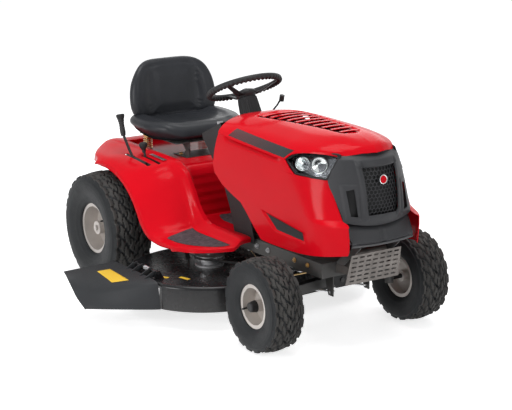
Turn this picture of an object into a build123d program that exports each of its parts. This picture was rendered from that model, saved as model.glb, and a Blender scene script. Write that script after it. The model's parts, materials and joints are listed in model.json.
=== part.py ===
from build123d import *
import math
import os

# Riding lawn mower with a twin-blade side-discharge deck.
# Millimetres. The sizes are given in the axle frame: X forward from the rear axle,
# Y to the driver's left, Z up from the ground. save() moves each finished piece into
# the row frame, whose origin is under the middle of the whole machine.

# ---------------------------------------------------------------- driving dimensions
wheelbase = 1215
rear_track = 800
front_track = 730
rear_tyre_d = 508
rear_tyre_w = 203
rear_rim_r = 104
front_tyre_d = 381
front_tyre_w = 150
front_rim_r = 79
tyre_tread = 8
running_gap = 0.05
seat_gap = 0.3

rear_end = -254
front_end = 1512
right_end = -821
blade_y = 245
deck_left_r = 290
left_end = blade_y + deck_left_r
row_shift = Location((-(rear_end + front_end) / 2, -(right_end + left_end) / 2, 0))

rear_axle_z = rear_tyre_d / 2
front_axle_z = front_tyre_d / 2
rear_axle_r = 12
rear_hub_r = 30
front_spindle_r = 9.5
front_hub_r = 24

rail_out = 170
rail_in = 140
rail_low = 290
rail_high = 350
rail_wall = 4
rail_rear = -200
rail_front = 1330
pan_rear = 720
pan_wall = 5
hitch_hole_r = 10
hitch_x = rail_rear - 25
hitch_wall = 6

axle_pivot_z = 235
axle_pivot_r = 10
axle_half = 18
kingpin_y = 262
kingpin_r = 12
boss_r = 20
boss_low = 205
boss_high = 243
arm_low = 256
arm_high = 264
steer_arm = 110
stud_r = 6
link_gap = 0.3
tie_low = 243
tie_high = 253
drag_low = 266
drag_high = 272
eye_r = 14
open_pivot_gap = 3

wheel_x = 530
wheel_z = 925
column_tilt = 25
rim_pipe = 13
wheel_r = 168
shaft_r = 9.5
pinion_x = 800
pinion_r = 16
sector_r = 96
sector_low = 281
sector_high = 288
sector_angle = 105
box_top = 440
box_rear = 735
box_front = 828

crank_x = 1000
crank_r = 12.5
crank_pulley_r = 60
spindle_pulley_r = 65
drive_pulley_r = 60
drive_pulley_x = 190
belt_wide = 10
drive_belt_z = 251
deck_belt_z = 233
groove = 8

deck_x = 620
blade_r = 240
blade_wide = 56
blade_thick = 5
blade_z = 104
deck_low = 85
deck_high = 193
deck_wall = 3
deck_right_r = 330
deck_right_y = -260
deck_side_y = -562
spindle_r = 12.7
spindle_flange_r = 62

chute_rod_y = -535
chute_rod_z = 218
chute_rod_r = 5
chute_root_y = -568
chute_wall = 4

lift_x = 300
lift_z = 400
lift_shaft_r = 10
lift_arm = 110
lift_arm_angle = 11.5
lift_arm_y = 215
lift_pin_r = 6
hanger_pin_z = 215
lift_lever_y = -325
front_rod_x = 1286
front_rod_z = 211
front_rod_y = 80
front_rod_end_x = 960
front_rod_end_z = 150
front_rod_r = 5

shift_x = 215
shift_y = -290
shift_z = 440
shift_pin_r = 6

seat_pivot_x = 215
seat_pivot_z = 600
seat_pivot_r = 6
seat_floor = 573
pan_z = 640
seat_half = 246
seat_low = 650
spring_x = -57
spring_y = 148

hood_wall = 4
trim_wall = 14
trim_gap = 1
hinge_x = 1475
hinge_z = 440
hinge_r = 5
strap_y = 95
strap_wall = 5

pedal_x = 900
pedal_z = 320
pedal_pin_r = 7

os.makedirs("parts", exist_ok=True)

# ---------------------------------------------------------------- helpers


def save(piece, label):
    """Label a finished piece, move it into the row frame and write its STEP file."""
    piece.part.label = label
    export_step(row_shift * piece.part, f"parts/{label}.step")


def save_group(pieces, label):
    """Write welded pieces as one node of separate solids that meet face to face."""
    solids = [solid for piece in pieces for solid in piece.part.solids()]
    export_step(row_shift * Compound(solids, label=label), f"parts/{label}.step")


def polygon(points):
    """A closed straight-sided face in the current sketch."""
    Polygon(*points, align=None)


def plate_xz(points, y, thick, mode=Mode.ADD):
    """A plate standing in the XZ plane, centred on y."""
    with BuildSketch(Plane.XZ.offset(-y)) as face:
        polygon(points)
    extrude(face.sketch, amount=thick / 2, both=True, mode=mode)


def plate_yz(points, x, thick, mode=Mode.ADD):
    """A plate standing in the YZ plane, centred on x."""
    with BuildSketch(Plane.YZ.offset(x)) as face:
        polygon(points)
    extrude(face.sketch, amount=thick / 2, both=True, mode=mode)


def block(x0, x1, y0, y1, z0, z1, mode=Mode.ADD):
    """A rectangular block given by its lowest and highest corners."""
    with BuildSketch(Plane.XY.offset(z0)) as face:
        with Locations(((x0 + x1) / 2, (y0 + y1) / 2)):
            Rectangle(x1 - x0, y1 - y0)
    extrude(face.sketch, amount=z1 - z0, mode=mode)


def post(x, y, z0, z1, r, mode=Mode.ADD):
    """An upright round bar."""
    with BuildSketch(Plane.XY.offset(z0)) as face:
        with Locations((x, y)):
            Circle(r)
    extrude(face.sketch, amount=z1 - z0, mode=mode)


def pin_y(x, z, y0, y1, r, mode=Mode.ADD):
    """A round bar along Y."""
    with BuildSketch(Plane.XZ.offset(-(y0 + y1) / 2)) as face:
        with Locations((x, z)):
            Circle(r)
    extrude(face.sketch, amount=(y1 - y0) / 2, both=True, mode=mode)


def rod(start, end, r, mode=Mode.ADD):
    """A round bar between two points."""
    run = Vector(*end) - Vector(*start)
    with BuildSketch(Plane(origin=start, z_dir=run)) as face:
        Circle(r)
    extrude(face.sketch, amount=run.length, mode=mode)


def bent_rod(points, r):
    """A bent round bar: straight runs with a ball at each bend."""
    for start, end in zip(points, points[1:]):
        rod(start, end, r)
    for corner in points[1:-1]:
        with Locations(corner):
            Sphere(r)


def turned(profile, axis, plane):
    """A turned solid from a closed half section."""
    with BuildSketch(plane) as face:
        polygon(profile)
    revolve(face.sketch, axis=axis)


def column_point(run, side=0):
    """A point run millimetres down the steering column from the wheel's centre."""
    lean = math.radians(column_tilt)
    return (wheel_x + run * math.sin(lean), side, wheel_z - run * math.cos(lean))


def column_plane(run):
    """A plane across the steering column, facing up it, with its X axis forward."""
    lean = math.radians(column_tilt)
    return Plane(
        origin=column_point(run),
        x_dir=(math.cos(lean), 0, math.sin(lean)),
        z_dir=(-math.sin(lean), 0, math.cos(lean)),
    )


# ---------------------------------------------------------------- chassis frame
rail_profile = [
    (rail_out, rail_low),
    (rail_out, rail_high),
    (rail_in, rail_high),
    (rail_in, rail_high - rail_wall),
    (rail_out - rail_wall, rail_high - rail_wall),
    (rail_out - rail_wall, rail_low + rail_wall),
    (rail_in, rail_low + rail_wall),
    (rail_in, rail_low),
]
pan_low = rail_high - pan_wall
lean = math.radians(sector_angle)
mesh_distance = sector_r + pinion_r
sector_x = pinion_x - mesh_distance * math.cos(lean)
sector_y = -mesh_distance * math.sin(lean)
pin_reach = 4

# The plates and brackets are welded on face to face, each a solid of its own.
with BuildPart() as frame_rails:
    for side in (1, -1):
        with BuildSketch(Plane.YZ.offset(rail_rear)):
            polygon([(side * y, z) for y, z in rail_profile])
        extrude(amount=rail_front - rail_rear)

with BuildPart() as frame_plates:
    block(pan_rear, rail_front, -rail_in, rail_in, pan_low, rail_high)
    block(90, 290, -rail_in, rail_in, pan_low, rail_high)
    post(crank_x, 0, pan_low, rail_high, crank_r + 10, Mode.SUBTRACT)
    post(pinion_x, 0, pan_low, rail_high, shaft_r + running_gap, Mode.SUBTRACT)
    # Shelf for the shift lever's ear.
    block(shift_x - 20, shift_x + 20, -281, -rail_out, pan_low, rail_high)
    block(hitch_x - 24, rail_rear - 4, -45, 45, rail_low, rail_low + hitch_wall)
    post(hitch_x, 0, rail_low, rail_low + hitch_wall, hitch_hole_r, Mode.SUBTRACT)

with BuildPart() as frame_ends:
    block(rail_front, rail_front + 4, -rail_out, rail_out, rail_low, rail_high)
    block(rail_rear - 4, rail_rear, -rail_out, rail_out, rail_low, rail_high)
    # Saddles under the rails that carry the rear axle tubes.
    for y in (-155, 155):
        plate_xz([(-40, rail_low), (40, rail_low), (40, 276), (-40, 276)], y, 30)
    # Tray for the fuel tank and the dash.
    block(737, 845, -150, 150, 560, 564)

with BuildPart() as frame_ears:
    # Ears for the lift shaft, on top of the rails.
    ear = [(280, rail_high), (320, rail_high), (320, lift_z + 18), (280, lift_z + 18)]
    for y in (-155, 155):
        plate_xz(ear, y, 8)
        pin_y(lift_x, lift_z, y - 4, y + 4, lift_shaft_r + running_gap, Mode.SUBTRACT)
    # Ear for the shift lever's pivot.
    ear = [(-20, rail_high), (20, rail_high), (20, shift_z + 14), (-20, shift_z + 14)]
    plate_xz([(shift_x + x, z) for x, z in ear], -279, 4)
    # Uprights under the tray.
    for y in (-115, 115):
        block(780, 786, y - 15, y + 15, rail_high, 560)
    # Straps that carry the hood's hinge.
    strap = [
        (rail_front + 4, rail_high),
        (rail_front + 4, 304),
        (hinge_x + 9, hinge_z - 6),
        (hinge_x + 9, hinge_z + 9),
        (hinge_x - 10, hinge_z + 9),
    ]
    for y in (-strap_y, strap_y):
        plate_xz(strap, y, strap_wall)
        pin_y(hinge_x, hinge_z, y - 3, y + 3, hinge_r + running_gap, Mode.SUBTRACT)

with BuildPart() as frame_pins:
    post(sector_x, sector_y, sector_low - pin_reach, pan_low, axle_pivot_r - running_gap)
    pin_y(shift_x, shift_z, -303, -281, shift_pin_r - running_gap)
    pin_y(pedal_x, pedal_z, rail_out, 198, pedal_pin_r - running_gap)

save_group((frame_rails, frame_plates, frame_ends, frame_ears, frame_pins), "frame")

with BuildPart() as axle_hanger:
    half = axle_half + 1.5
    for x in (wheelbase - half - 3, wheelbase + half + 3):
        plate_yz([(-30, 205), (30, 205), (65, 255), (65, pan_low), (-65, pan_low), (-65, 255)], x, 6)
    front_face = wheelbase + half + 6
    for y in (-90, 90):
        plate_xz([(front_face - 6, 300), (front_face - 6, pan_low), (1302, pan_low), (1302, 195), (1270, 195)], y, 4)
        pin_y(front_rod_x, front_rod_z, y - 3, y + 3, front_rod_r + running_gap, Mode.SUBTRACT)
    block(front_face - 6, front_face, -92, 92, 300, pan_low)
    with BuildSketch(Plane.YZ.offset(wheelbase - half - 10)):
        with Locations((0, axle_pivot_z)):
            Circle(axle_pivot_r - running_gap)
    extrude(amount=2 * half + 20)
save(axle_hanger, "axle_hanger")

# ---------------------------------------------------------------- front axle and steering
with BuildPart() as front_axle:
    beam = [
        (-kingpin_y, boss_low),
        (kingpin_y, boss_low),
        (kingpin_y, 240),
        (60, 255),
        (-60, 255),
        (-kingpin_y, 240),
    ]
    plate_yz(beam, wheelbase, 2 * axle_half)
    plate_yz([(-190, boss_low - 1), (190, boss_low - 1), (60, 216), (-60, 216)], wheelbase, 60, Mode.SUBTRACT)
    for side in (1, -1):
        post(wheelbase, side * kingpin_y, boss_low, boss_high, boss_r)
        post(wheelbase, side * kingpin_y, boss_low, boss_high, kingpin_r + running_gap, Mode.SUBTRACT)
    with BuildSketch(Plane.YZ.offset(wheelbase - axle_half)):
        with Locations((0, axle_pivot_z)):
            Circle(axle_pivot_r)
    extrude(amount=2 * axle_half, mode=Mode.SUBTRACT)
save(front_axle, "front_axle")


def make_knuckle(side):
    """Kingpin, wheel spindle and steering arm of one side, as one forging."""
    y = side * kingpin_y
    outer = side * (front_track / 2 + 52)
    with BuildPart() as forging:
        post(wheelbase, y, front_axle_z - 14, arm_low, kingpin_r)
        post(wheelbase, y, front_axle_z - 18, boss_low - link_gap, boss_r - 2)
        post(wheelbase, y, boss_high + link_gap, arm_low, boss_r - 3)
        pin_y(wheelbase, front_axle_z, min(y, outer), max(y, outer), front_spindle_r)
        block(wheelbase - steer_arm, wheelbase, y - 14, y + 14, arm_low, arm_high)
        post(wheelbase, y, arm_low, arm_high, boss_r)
        post(wheelbase - steer_arm, y, arm_low, arm_high, eye_r)
        post(wheelbase - steer_arm, y, tie_low - 3, arm_low, stud_r)
        if side < 0:
            post(wheelbase - steer_arm, y, arm_high, drag_high + 3, stud_r)
    return forging


knuckle_right = make_knuckle(-1)
save(knuckle_right, "knuckle_right")
knuckle_left = make_knuckle(1)
save(knuckle_left, "knuckle_left")


def make_link(start, end, low, high, start_gap, end_gap):
    """A flat-ended rod with an eye at each end, lying level between two studs."""
    with BuildPart() as link:
        middle = (low + high) / 2
        rod((*start, middle), (*end, middle), (high - low) * 0.42)
        for (x, y), gap in ((start, start_gap), (end, end_gap)):
            post(x, y, low, high, eye_r)
            post(x, y, low, high, stud_r + gap, Mode.SUBTRACT)
    return link


tie_x = wheelbase - steer_arm
tie_rod = make_link((tie_x, -kingpin_y), (tie_x, kingpin_y), tie_low, tie_high, link_gap, link_gap)
save(tie_rod, "tie_rod")
sector_end = (sector_x - steer_arm, sector_y)
drag_link = make_link((tie_x, -kingpin_y), sector_end, drag_low, drag_high, link_gap, open_pivot_gap)
save(drag_link, "drag_link")

tooth_module = 2 * sector_r / 72
root_depth = 1.25 * tooth_module
tip_height = 0.9 * tooth_module


def gear_teeth(x, y, pitch_r, count, first, last, offset):
    """Trapezium teeth on a pitch circle, drawn in the current sketch."""
    step = 360 / count
    for index in range(first, last + 1):
        turn = math.radians(offset + index * step)
        half_root = math.radians(step) * 0.30
        half_tip = math.radians(step) * 0.13
        corners = []
        for reach, spread in (
            (-root_depth - 0.5, -half_root),
            (tip_height, -half_tip),
            (tip_height, half_tip),
            (-root_depth - 0.5, half_root),
        ):
            radius = pitch_r + reach
            corners.append((x + radius * math.cos(turn + spread), y + radius * math.sin(turn + spread)))
        polygon(corners)


with BuildPart() as sector_gear:
    with BuildSketch(Plane.XY.offset(sector_low)):
        with BuildLine():
            spread = 40
            root = sector_r - root_depth
            CenterArc((sector_x, sector_y), root, sector_angle - spread, 2 * spread)
            ends = [
                (
                    sector_x + root * math.cos(math.radians(angle)),
                    sector_y + root * math.sin(math.radians(angle)),
                )
                for angle in (sector_angle + spread, sector_angle - spread)
            ]
            Polyline(ends[0], (sector_x - 16, sector_y - 4), (sector_x + 16, sector_y - 4), ends[1])
        make_face()
        with Locations((sector_x, sector_y)):
            Circle(22)
        gear_teeth(sector_x, sector_y, sector_r, 72, -7, 7, sector_angle)
    extrude(amount=sector_high - sector_low)
    block(sector_x - steer_arm, sector_x, sector_y - 12, sector_y + 12, sector_low, sector_high)
    post(*sector_end, sector_low, sector_high, eye_r)
    post(sector_x, sector_y, sector_low, sector_high, axle_pivot_r, Mode.SUBTRACT)
    post(*sector_end, 257, sector_low, stud_r)
save(sector_gear, "sector_gear")

with BuildPart() as steering_pinion:
    with BuildSketch(Plane.XY.offset(sector_low - 2)):
        with Locations((pinion_x, 0)):
            Circle(pinion_r - root_depth)
        gear_teeth(pinion_x, 0, pinion_r, 12, 0, 11, sector_angle + 180 + 15)
    extrude(amount=sector_high - sector_low + 4)
    post(pinion_x, 0, sector_high + 2, 400, shaft_r)
save(steering_pinion, "steering_pinion")

shaft_end = 560
with BuildPart() as steering_box:
    block(box_rear, box_front, -40, 40, rail_high, box_top)
    block(box_rear + 6, box_front - 6, -34, 34, rail_high + 6, box_top - 6, Mode.SUBTRACT)
    rod(column_point(shaft_end - 60), column_point(shaft_end - 20), 22)
    block(box_rear + 6, box_front - 6, -34, 34, rail_high + 6, box_top - 6, Mode.SUBTRACT)
    rod(column_point(shaft_end - 80), column_point(shaft_end), shaft_r + running_gap, Mode.SUBTRACT)
    post(pinion_x, 0, rail_high, rail_high + 6, shaft_r + running_gap, Mode.SUBTRACT)
save(steering_box, "steering_box")

with BuildPart() as steering_shaft:
    rod(column_point(8), column_point(shaft_end), shaft_r)
save(steering_shaft, "steering_shaft")

with BuildPart() as steering_wheel:
    ring = wheel_r - rim_pipe
    with BuildSketch(Plane(origin=column_point(0), x_dir=(math.cos(math.radians(column_tilt)), 0, math.sin(math.radians(column_tilt))), z_dir=(0, -1, 0))):
        with Locations((ring, 0)):
            Circle(rim_pipe)
    axis_up = column_plane(0).z_dir
    revolve(axis=Axis(column_point(0), tuple(axis_up)))
    for angle in (0, 100, -100):
        turn = math.radians(angle)
        plane = column_plane(0)
        foot = plane.from_local_coords(Vector(-20 * math.cos(turn), 20 * math.sin(turn), -22))
        tip = plane.from_local_coords(Vector(-(ring - 6) * math.cos(turn), (ring - 6) * math.sin(turn), -4))
        rod(tuple(foot), tuple(tip), 8)
    with BuildSketch(column_plane(44)):
        Circle(34)
    extrude(amount=48)
    rod(column_point(8), column_point(50), shaft_r + running_gap, Mode.SUBTRACT)
save(steering_wheel, "steering_wheel")

cover_low = 149.7
with BuildPart() as column_cover:
    with BuildSketch(column_plane(cover_low)):
        Circle(46)
    with BuildSketch(column_plane(47)):
        Circle(36)
    loft()
    with BuildSketch(column_plane(cover_low)):
        Circle(41)
    with BuildSketch(column_plane(52)):
        Circle(31)
    loft(mode=Mode.SUBTRACT)
    rod(column_point(40), column_point(60), shaft_r + 1, Mode.SUBTRACT)
save(column_cover, "column_cover")

# ---------------------------------------------------------------- wheels


def make_tyre(y, outer_r, wide, rim_r, crown):
    """A turf tyre with a crowned tread, running grooves and a hollow inside."""
    half = wide / 2
    bead = half * 0.62 - link_gap
    wall = 9
    with BuildPart() as tyre:
        with BuildSketch(Plane.YZ):
            side = [(bead, rim_r), (bead, rim_r + 16), (half - 3, rim_r + 34)]
            side += [(half, outer_r * 0.74), (half - 6, outer_r - 26), (half - 16, outer_r - crown)]
            opposite = [(-y, r) for y, r in reversed(side)]
            with BuildLine():
                Polyline(*side)
                ThreePointArc(side[-1], (0, outer_r), opposite[0])
                Polyline(*opposite)
                Line(opposite[-1], side[0])
            make_face()
            inner = [(bead - wall, rim_r), (bead - wall, rim_r + 18), (half - wall - 3, rim_r + 38)]
            inner += [(half - wall, outer_r * 0.74), (half - wall - 10, outer_r - 32)]
            polygon_points = inner + [(-y, r) for y, r in reversed(inner)]
            Polygon(*polygon_points, align=None, mode=Mode.SUBTRACT)
            for offset_y in (-0.3 * half, 0.3 * half):
                with Locations((offset_y, outer_r - crown / 2)):
                    Rectangle(6, 2 * tyre_tread, mode=Mode.SUBTRACT)
        revolve(axis=Axis.Y)
    return tyre


def make_rim(wide, rim_r, hub_r, bore_r, out):
    """A pressed steel rim: barrel with two flanges, a dished disc and a hub tube."""
    bead = wide / 2 * 0.62
    half = wide / 2
    disc = out * (bead * 0.2)
    with BuildPart() as rim:
        turned([(-bead, rim_r - 4), (-bead, rim_r - 0.1), (bead, rim_r - 0.1), (bead, rim_r - 4)], Axis.Y, Plane.YZ)
        for end in (1, -1):
            inner, outer = end * bead, end * (bead + 5)
            flange = [(inner, rim_r - 4), (inner, rim_r + 13), (outer, rim_r + 13), (outer, rim_r - 4)]
            turned(flange, Axis.Y, Plane.YZ)
        turned([(disc - 3, hub_r - 2), (disc - 3 - out * 18, rim_r - 3), (disc + 3 - out * 18, rim_r - 3), (disc + 3, hub_r - 2)], Axis.Y, Plane.YZ)
        turned([(-half * 0.55, bore_r), (-half * 0.55, hub_r), (half * 0.55, hub_r), (half * 0.55, bore_r)], Axis.Y, Plane.YZ)
    return rim


def placed(piece, x, y, z):
    """The same piece moved to its wheel centre."""
    with BuildPart() as moved:
        with Locations((x, y, z)):
            add(piece.part)
    return moved


rear_tyre = make_tyre(0, rear_tyre_d / 2, rear_tyre_w, rear_rim_r, 7)
front_tyre = make_tyre(0, front_tyre_d / 2, front_tyre_w, front_rim_r, 5)
for name, side in (("right", -1), ("left", 1)):
    rear_y = side * rear_track / 2
    front_y = side * front_track / 2
    rear_rim = make_rim(rear_tyre_w, rear_rim_r, rear_hub_r, rear_axle_r, side)
    front_rim = make_rim(front_tyre_w, front_rim_r, front_hub_r, front_spindle_r + running_gap, side)
    save(placed(rear_tyre, 0, rear_y, rear_axle_z), f"rear_tyre_{name}")
    save(placed(front_tyre, wheelbase, front_y, front_axle_z), f"front_tyre_{name}")
    with BuildPart() as rear_wheel:
        with Locations((0, rear_y, rear_axle_z)):
            add(rear_rim.part)
        axle_end = rear_y + side * (rear_tyre_w / 2 * 0.55 + 10)
        pin_y(0, rear_axle_z, min(side * 206, axle_end), max(side * 206, axle_end), rear_axle_r)
    save(rear_wheel, f"rear_rim_{name}")
    save(placed(front_rim, wheelbase, front_y, front_axle_z), f"front_rim_{name}")
    with BuildPart() as front_cap:
        face = front_y + side * front_tyre_w / 2 * 0.55
        cap_end = front_y + side * 70
        cap = [(face, 0), (face, front_hub_r), (cap_end - side * 4, 20), (cap_end, 16), (cap_end, 0)]
        inner = front_y + side * 53
        pocket = [(face, 0), (face, front_spindle_r + 1), (inner, front_spindle_r + 1), (inner, 0)]
        with BuildSketch(Plane.YZ):
            polygon(cap)
            Polygon(*pocket, align=None, mode=Mode.SUBTRACT)
        revolve(axis=Axis.Y)
    save(placed(front_cap, wheelbase, 0, front_axle_z), f"front_cap_{name}")

# ---------------------------------------------------------------- transaxle and belts
with BuildPart() as transaxle:
    block(-85, 75, -92, 92, 196, 330)
    fillet(transaxle.edges().filter_by(Axis.Z), 18)
    for side in (1, -1):
        pin_y(0, rear_axle_z, min(side * 90, side * 300), max(side * 90, side * 300), 22)
        pin_y(0, rear_axle_z, min(side * 205, side * 301), max(side * 205, side * 301), rear_axle_r + running_gap, Mode.SUBTRACT)
    block(70, drive_pulley_x + 30, -38, 38, 200, 236)
    post(drive_pulley_x, 0, 236, drive_belt_z + 12, 14)
    post(drive_pulley_x, 0, drive_belt_z - 8, drive_belt_z + 8, drive_pulley_r)
    post(drive_pulley_x, 0, drive_belt_z - 5.5, drive_belt_z + 5.5, drive_pulley_r + 3, Mode.SUBTRACT)
    post(drive_pulley_x, 0, drive_belt_z - 5.5, drive_belt_z + 5.5, drive_pulley_r - groove)
    # Flanges that carry the case on the saddles under the rails.
    for y in (-155, 155):
        block(-36, 36, y - 13, y + 13, rear_axle_z + 14, 276)
save(transaxle, "transaxle")


def make_belt(pulleys, middle):
    """A V belt drawn tight round its pulleys, as one closed band."""
    with BuildPart() as belt:
        with BuildSketch(Plane.XY.offset(middle - belt_wide / 2)):
            with BuildSketch(mode=Mode.PRIVATE) as inside:
                for x, y, r in pulleys:
                    with Locations((x, y)):
                        Circle(r)
                make_hull()
            with BuildSketch(mode=Mode.PRIVATE) as outside:
                for x, y, r in pulleys:
                    with Locations((x, y)):
                        Circle(r + 8)
                make_hull()
            add(outside.sketch)
            add(inside.sketch, mode=Mode.SUBTRACT)
        extrude(amount=belt_wide)
    return belt


def groove_r(pulley_r):
    """The belt's inner radius in a pulley's groove."""
    return pulley_r - groove + link_gap


drive_belt = make_belt(
    [(crank_x, 0, groove_r(crank_pulley_r)), (drive_pulley_x, 0, groove_r(drive_pulley_r))],
    drive_belt_z,
)
save(drive_belt, "drive_belt")
deck_belt = make_belt(
    [
        (crank_x, 0, groove_r(crank_pulley_r)),
        (deck_x, blade_y, groove_r(spindle_pulley_r)),
        (deck_x, -blade_y, groove_r(spindle_pulley_r)),
    ],
    deck_belt_z,
)
save(deck_belt, "deck_belt")

with BuildPart() as crank_pulley:
    low = deck_belt_z - 9
    high = drive_belt_z + 9
    post(crank_x, 0, low, high, crank_pulley_r)
    for middle in (deck_belt_z, drive_belt_z):
        post(crank_x, 0, middle - 5.5, middle + 5.5, crank_pulley_r + 3, Mode.SUBTRACT)
        post(crank_x, 0, middle - 5.5, middle + 5.5, crank_pulley_r - groove)
    post(crank_x, 0, high, 470, crank_r)
save(crank_pulley, "crank_pulley")

# ---------------------------------------------------------------- engine
block_top = 480
with BuildPart() as engine_block:
    post(crank_x, 0, rail_high, block_top, 104)
    block(crank_x + 60, 1236, -62, 62, 372, 472)
    for index in range(6):
        left = 1130 + index * 17
        block(left, left + 6, -76, 76, 364, block_top)
    post(crank_x, 0, rail_high, 472, crank_r + running_gap, Mode.SUBTRACT)
save(engine_block, "engine_block")

with BuildPart() as blower_housing:
    post(crank_x, 0, block_top, 560, 145)
    fillet(blower_housing.faces().sort_by(Axis.Z)[-1].edges(), 24)
    post(crank_x, 0, 560, 585, 70)
    block(crank_x + 40, 1236, -70, 70, block_top, 540)
    block(1060, 1190, 72, 150, block_top + 10, 590)
    block(1060, 1100, 60, 80, block_top + 20, 540)
    post(crank_x, 0, block_top, 552, 110, Mode.SUBTRACT)
save(blower_housing, "blower_housing")

with BuildPart() as muffler:
    block(1346, 1424, -84, 84, 326, 408)
    fillet(muffler.edges().filter_by(Axis.Y), 22)
    block(1334, 1350, -60, 60, 330, 345)
    rod((1236, 0, 420), (1300, 0, 420), 14)
    rod((1296, 0, 422), (1352, 0, 385), 13)
save(muffler, "muffler")

shield_foot = (1433, 280)
shield_head = (1461, 407)
with BuildPart() as heat_shield:
    with BuildSketch(Plane(origin=(shield_foot[0], 0, shield_foot[1]), x_dir=(0, 1, 0), z_dir=Vector(127, 0, -28))):
        polygon([(-132, 0), (132, 0), (122, 130), (-122, 130)])
        with Locations((0, 66)):
            with GridLocations(34, 20, 7, 6):
                SlotOverall(24, 7, mode=Mode.SUBTRACT)
    extrude(amount=2.5)
    for y in (-strap_y - 5, strap_y + 5):
        plate_xz([(rail_front + 4, 305), (rail_front + 4, 340), (1450, 350), (1443, 318)], y, 3)
save(heat_shield, "heat_shield")

with BuildPart() as fuel_tank:
    block(739, 843, -146, 146, 564, 690)
    fillet(fuel_tank.edges().filter_by(Axis.Y), 18)
    post(785, 0, 680, 704, 24)
    block(743, 839, -142, 142, 568, 686, Mode.SUBTRACT)
save(fuel_tank, "fuel_tank")

with BuildPart() as fuel_cap:
    post(785, 0, 704 + link_gap, 728, 33)
    for index in range(12):
        turn = math.radians(30 * index)
        post(785 + 33 * math.cos(turn), 33 * math.sin(turn), 703, 730, 3, Mode.SUBTRACT)
    chamfer(fuel_cap.faces().sort_by(Axis.Z)[-1].edges(), 1.5)
save(fuel_cap, "fuel_cap")

with BuildPart() as battery:
    block(110, 270, -88, 88, rail_high, 500)
    for y in (-60, 60):
        post(140, y, 500, 514, 9)
save(battery, "battery")

# ---------------------------------------------------------------- deck
with BuildPart() as deck_shell:
    with BuildSketch(Plane.XY.offset(deck_low)) as deck_plan:
        with Locations((deck_x, deck_right_y)):
            Circle(deck_right_r)
        with Locations((deck_x, blade_y)):
            Circle(deck_left_r)
        make_hull()
        with Locations((deck_x, deck_side_y - 200)):
            Rectangle(900, 400, mode=Mode.SUBTRACT)
    extrude(amount=deck_high - deck_low)
    fillet(deck_shell.faces().sort_by(Axis.Z)[-1].edges(), 16)
    offset(amount=-deck_wall, openings=deck_shell.faces().sort_by(Axis.Z)[0])
    block(400, 735, deck_side_y - 5, deck_side_y + 12, 100, 172, Mode.SUBTRACT)
    for y in (-blade_y, blade_y):
        post(deck_x, y, deck_high - deck_wall, deck_high, 44, Mode.SUBTRACT)
    # Rear hangers for the lift links.
    hanger_x = lift_x + lift_arm * math.cos(math.radians(lift_arm_angle))
    for side in (1, -1):
        y = side * (lift_arm_y + 13)
        ear = [(-16, deck_high - 2), (16, deck_high - 2), (12, hanger_pin_z + 12), (-12, hanger_pin_z + 12)]
        plate_xz([(hanger_x + x, z) for x, z in ear], y, 4)
        ends = sorted((side * (lift_arm_y + 3), y))
        pin_y(hanger_x, hanger_pin_z, ends[0], ends[1], lift_pin_r)
    # Front ears with a slot for the front lift rod.
    for y in (-42, 42):
        plate_xz([(905, 150), (905, 188), (998, 172), (998, 132), (930, 120)], y, 4)
        with BuildSketch(Plane.XZ.offset(-y)):
            with Locations((front_rod_end_x + 7, front_rod_end_z)):
                SlotOverall(2 * front_rod_r + 22, 2 * front_rod_r + 2)
        extrude(amount=4, both=True, mode=Mode.SUBTRACT)
    block(880, 924, -60, 60, 118, 170, Mode.SUBTRACT)
    # Ears and rod of the chute's hinge.
    for x in (485, 680):
        ear = [(deck_side_y + 6, deck_high - 4), (-505, deck_high - 4), (-527, chute_rod_z + 9), (-543, chute_rod_z + 9)]
        plate_yz(ear, x, 5)
    rod((480, chute_rod_y, chute_rod_z), (685, chute_rod_y, chute_rod_z), chute_rod_r)
save(deck_shell, "deck_shell")

with BuildPart() as spindle_housings:
    for y in (-blade_y, blade_y):
        post(deck_x, y, deck_high, deck_high + 8, spindle_flange_r)
        post(deck_x, y, 140, deck_high + 24, 36)
        post(deck_x, y, 140, deck_high + 24, spindle_r + running_gap, Mode.SUBTRACT)
save(spindle_housings, "spindle_housings")


def make_blade(y, angle):
    """A mowing blade: a flat bar with a sharpened edge and a raised wing at each end."""
    with BuildPart() as blade:
        with BuildSketch(Plane(origin=(deck_x, y, blade_z), x_dir=(math.cos(math.radians(angle)), math.sin(math.radians(angle)), 0))):
            SlotOverall(2 * blade_r, blade_wide)
            Rectangle(2 * blade_r - blade_wide, blade_wide)
            Circle(spindle_r + running_gap, mode=Mode.SUBTRACT)
        extrude(amount=blade_thick)
    return blade


def make_spindle(y):
    """A spindle shaft with its pulley above the deck and its blade bolt below."""
    high = deck_belt_z + 8
    with BuildPart() as spindle:
        post(deck_x, y, blade_z, deck_belt_z + 10, spindle_r)
        post(deck_x, y, blade_z + blade_thick, 140 - link_gap, 24)
        post(deck_x, y, blade_z - 7, blade_z, 22)
        post(deck_x, y, deck_belt_z - 9, high, spindle_pulley_r)
        post(deck_x, y, deck_belt_z - 5.5, deck_belt_z + 5.5, spindle_pulley_r + 3, Mode.SUBTRACT)
        post(deck_x, y, deck_belt_z - 5.5, deck_belt_z + 5.5, spindle_pulley_r - groove)
    return spindle


for name, y, angle in (("right", -blade_y, 25), ("left", blade_y, 70)):
    save(make_blade(y, angle), f"blade_{name}")
    save(make_spindle(y), f"spindle_{name}")

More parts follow.
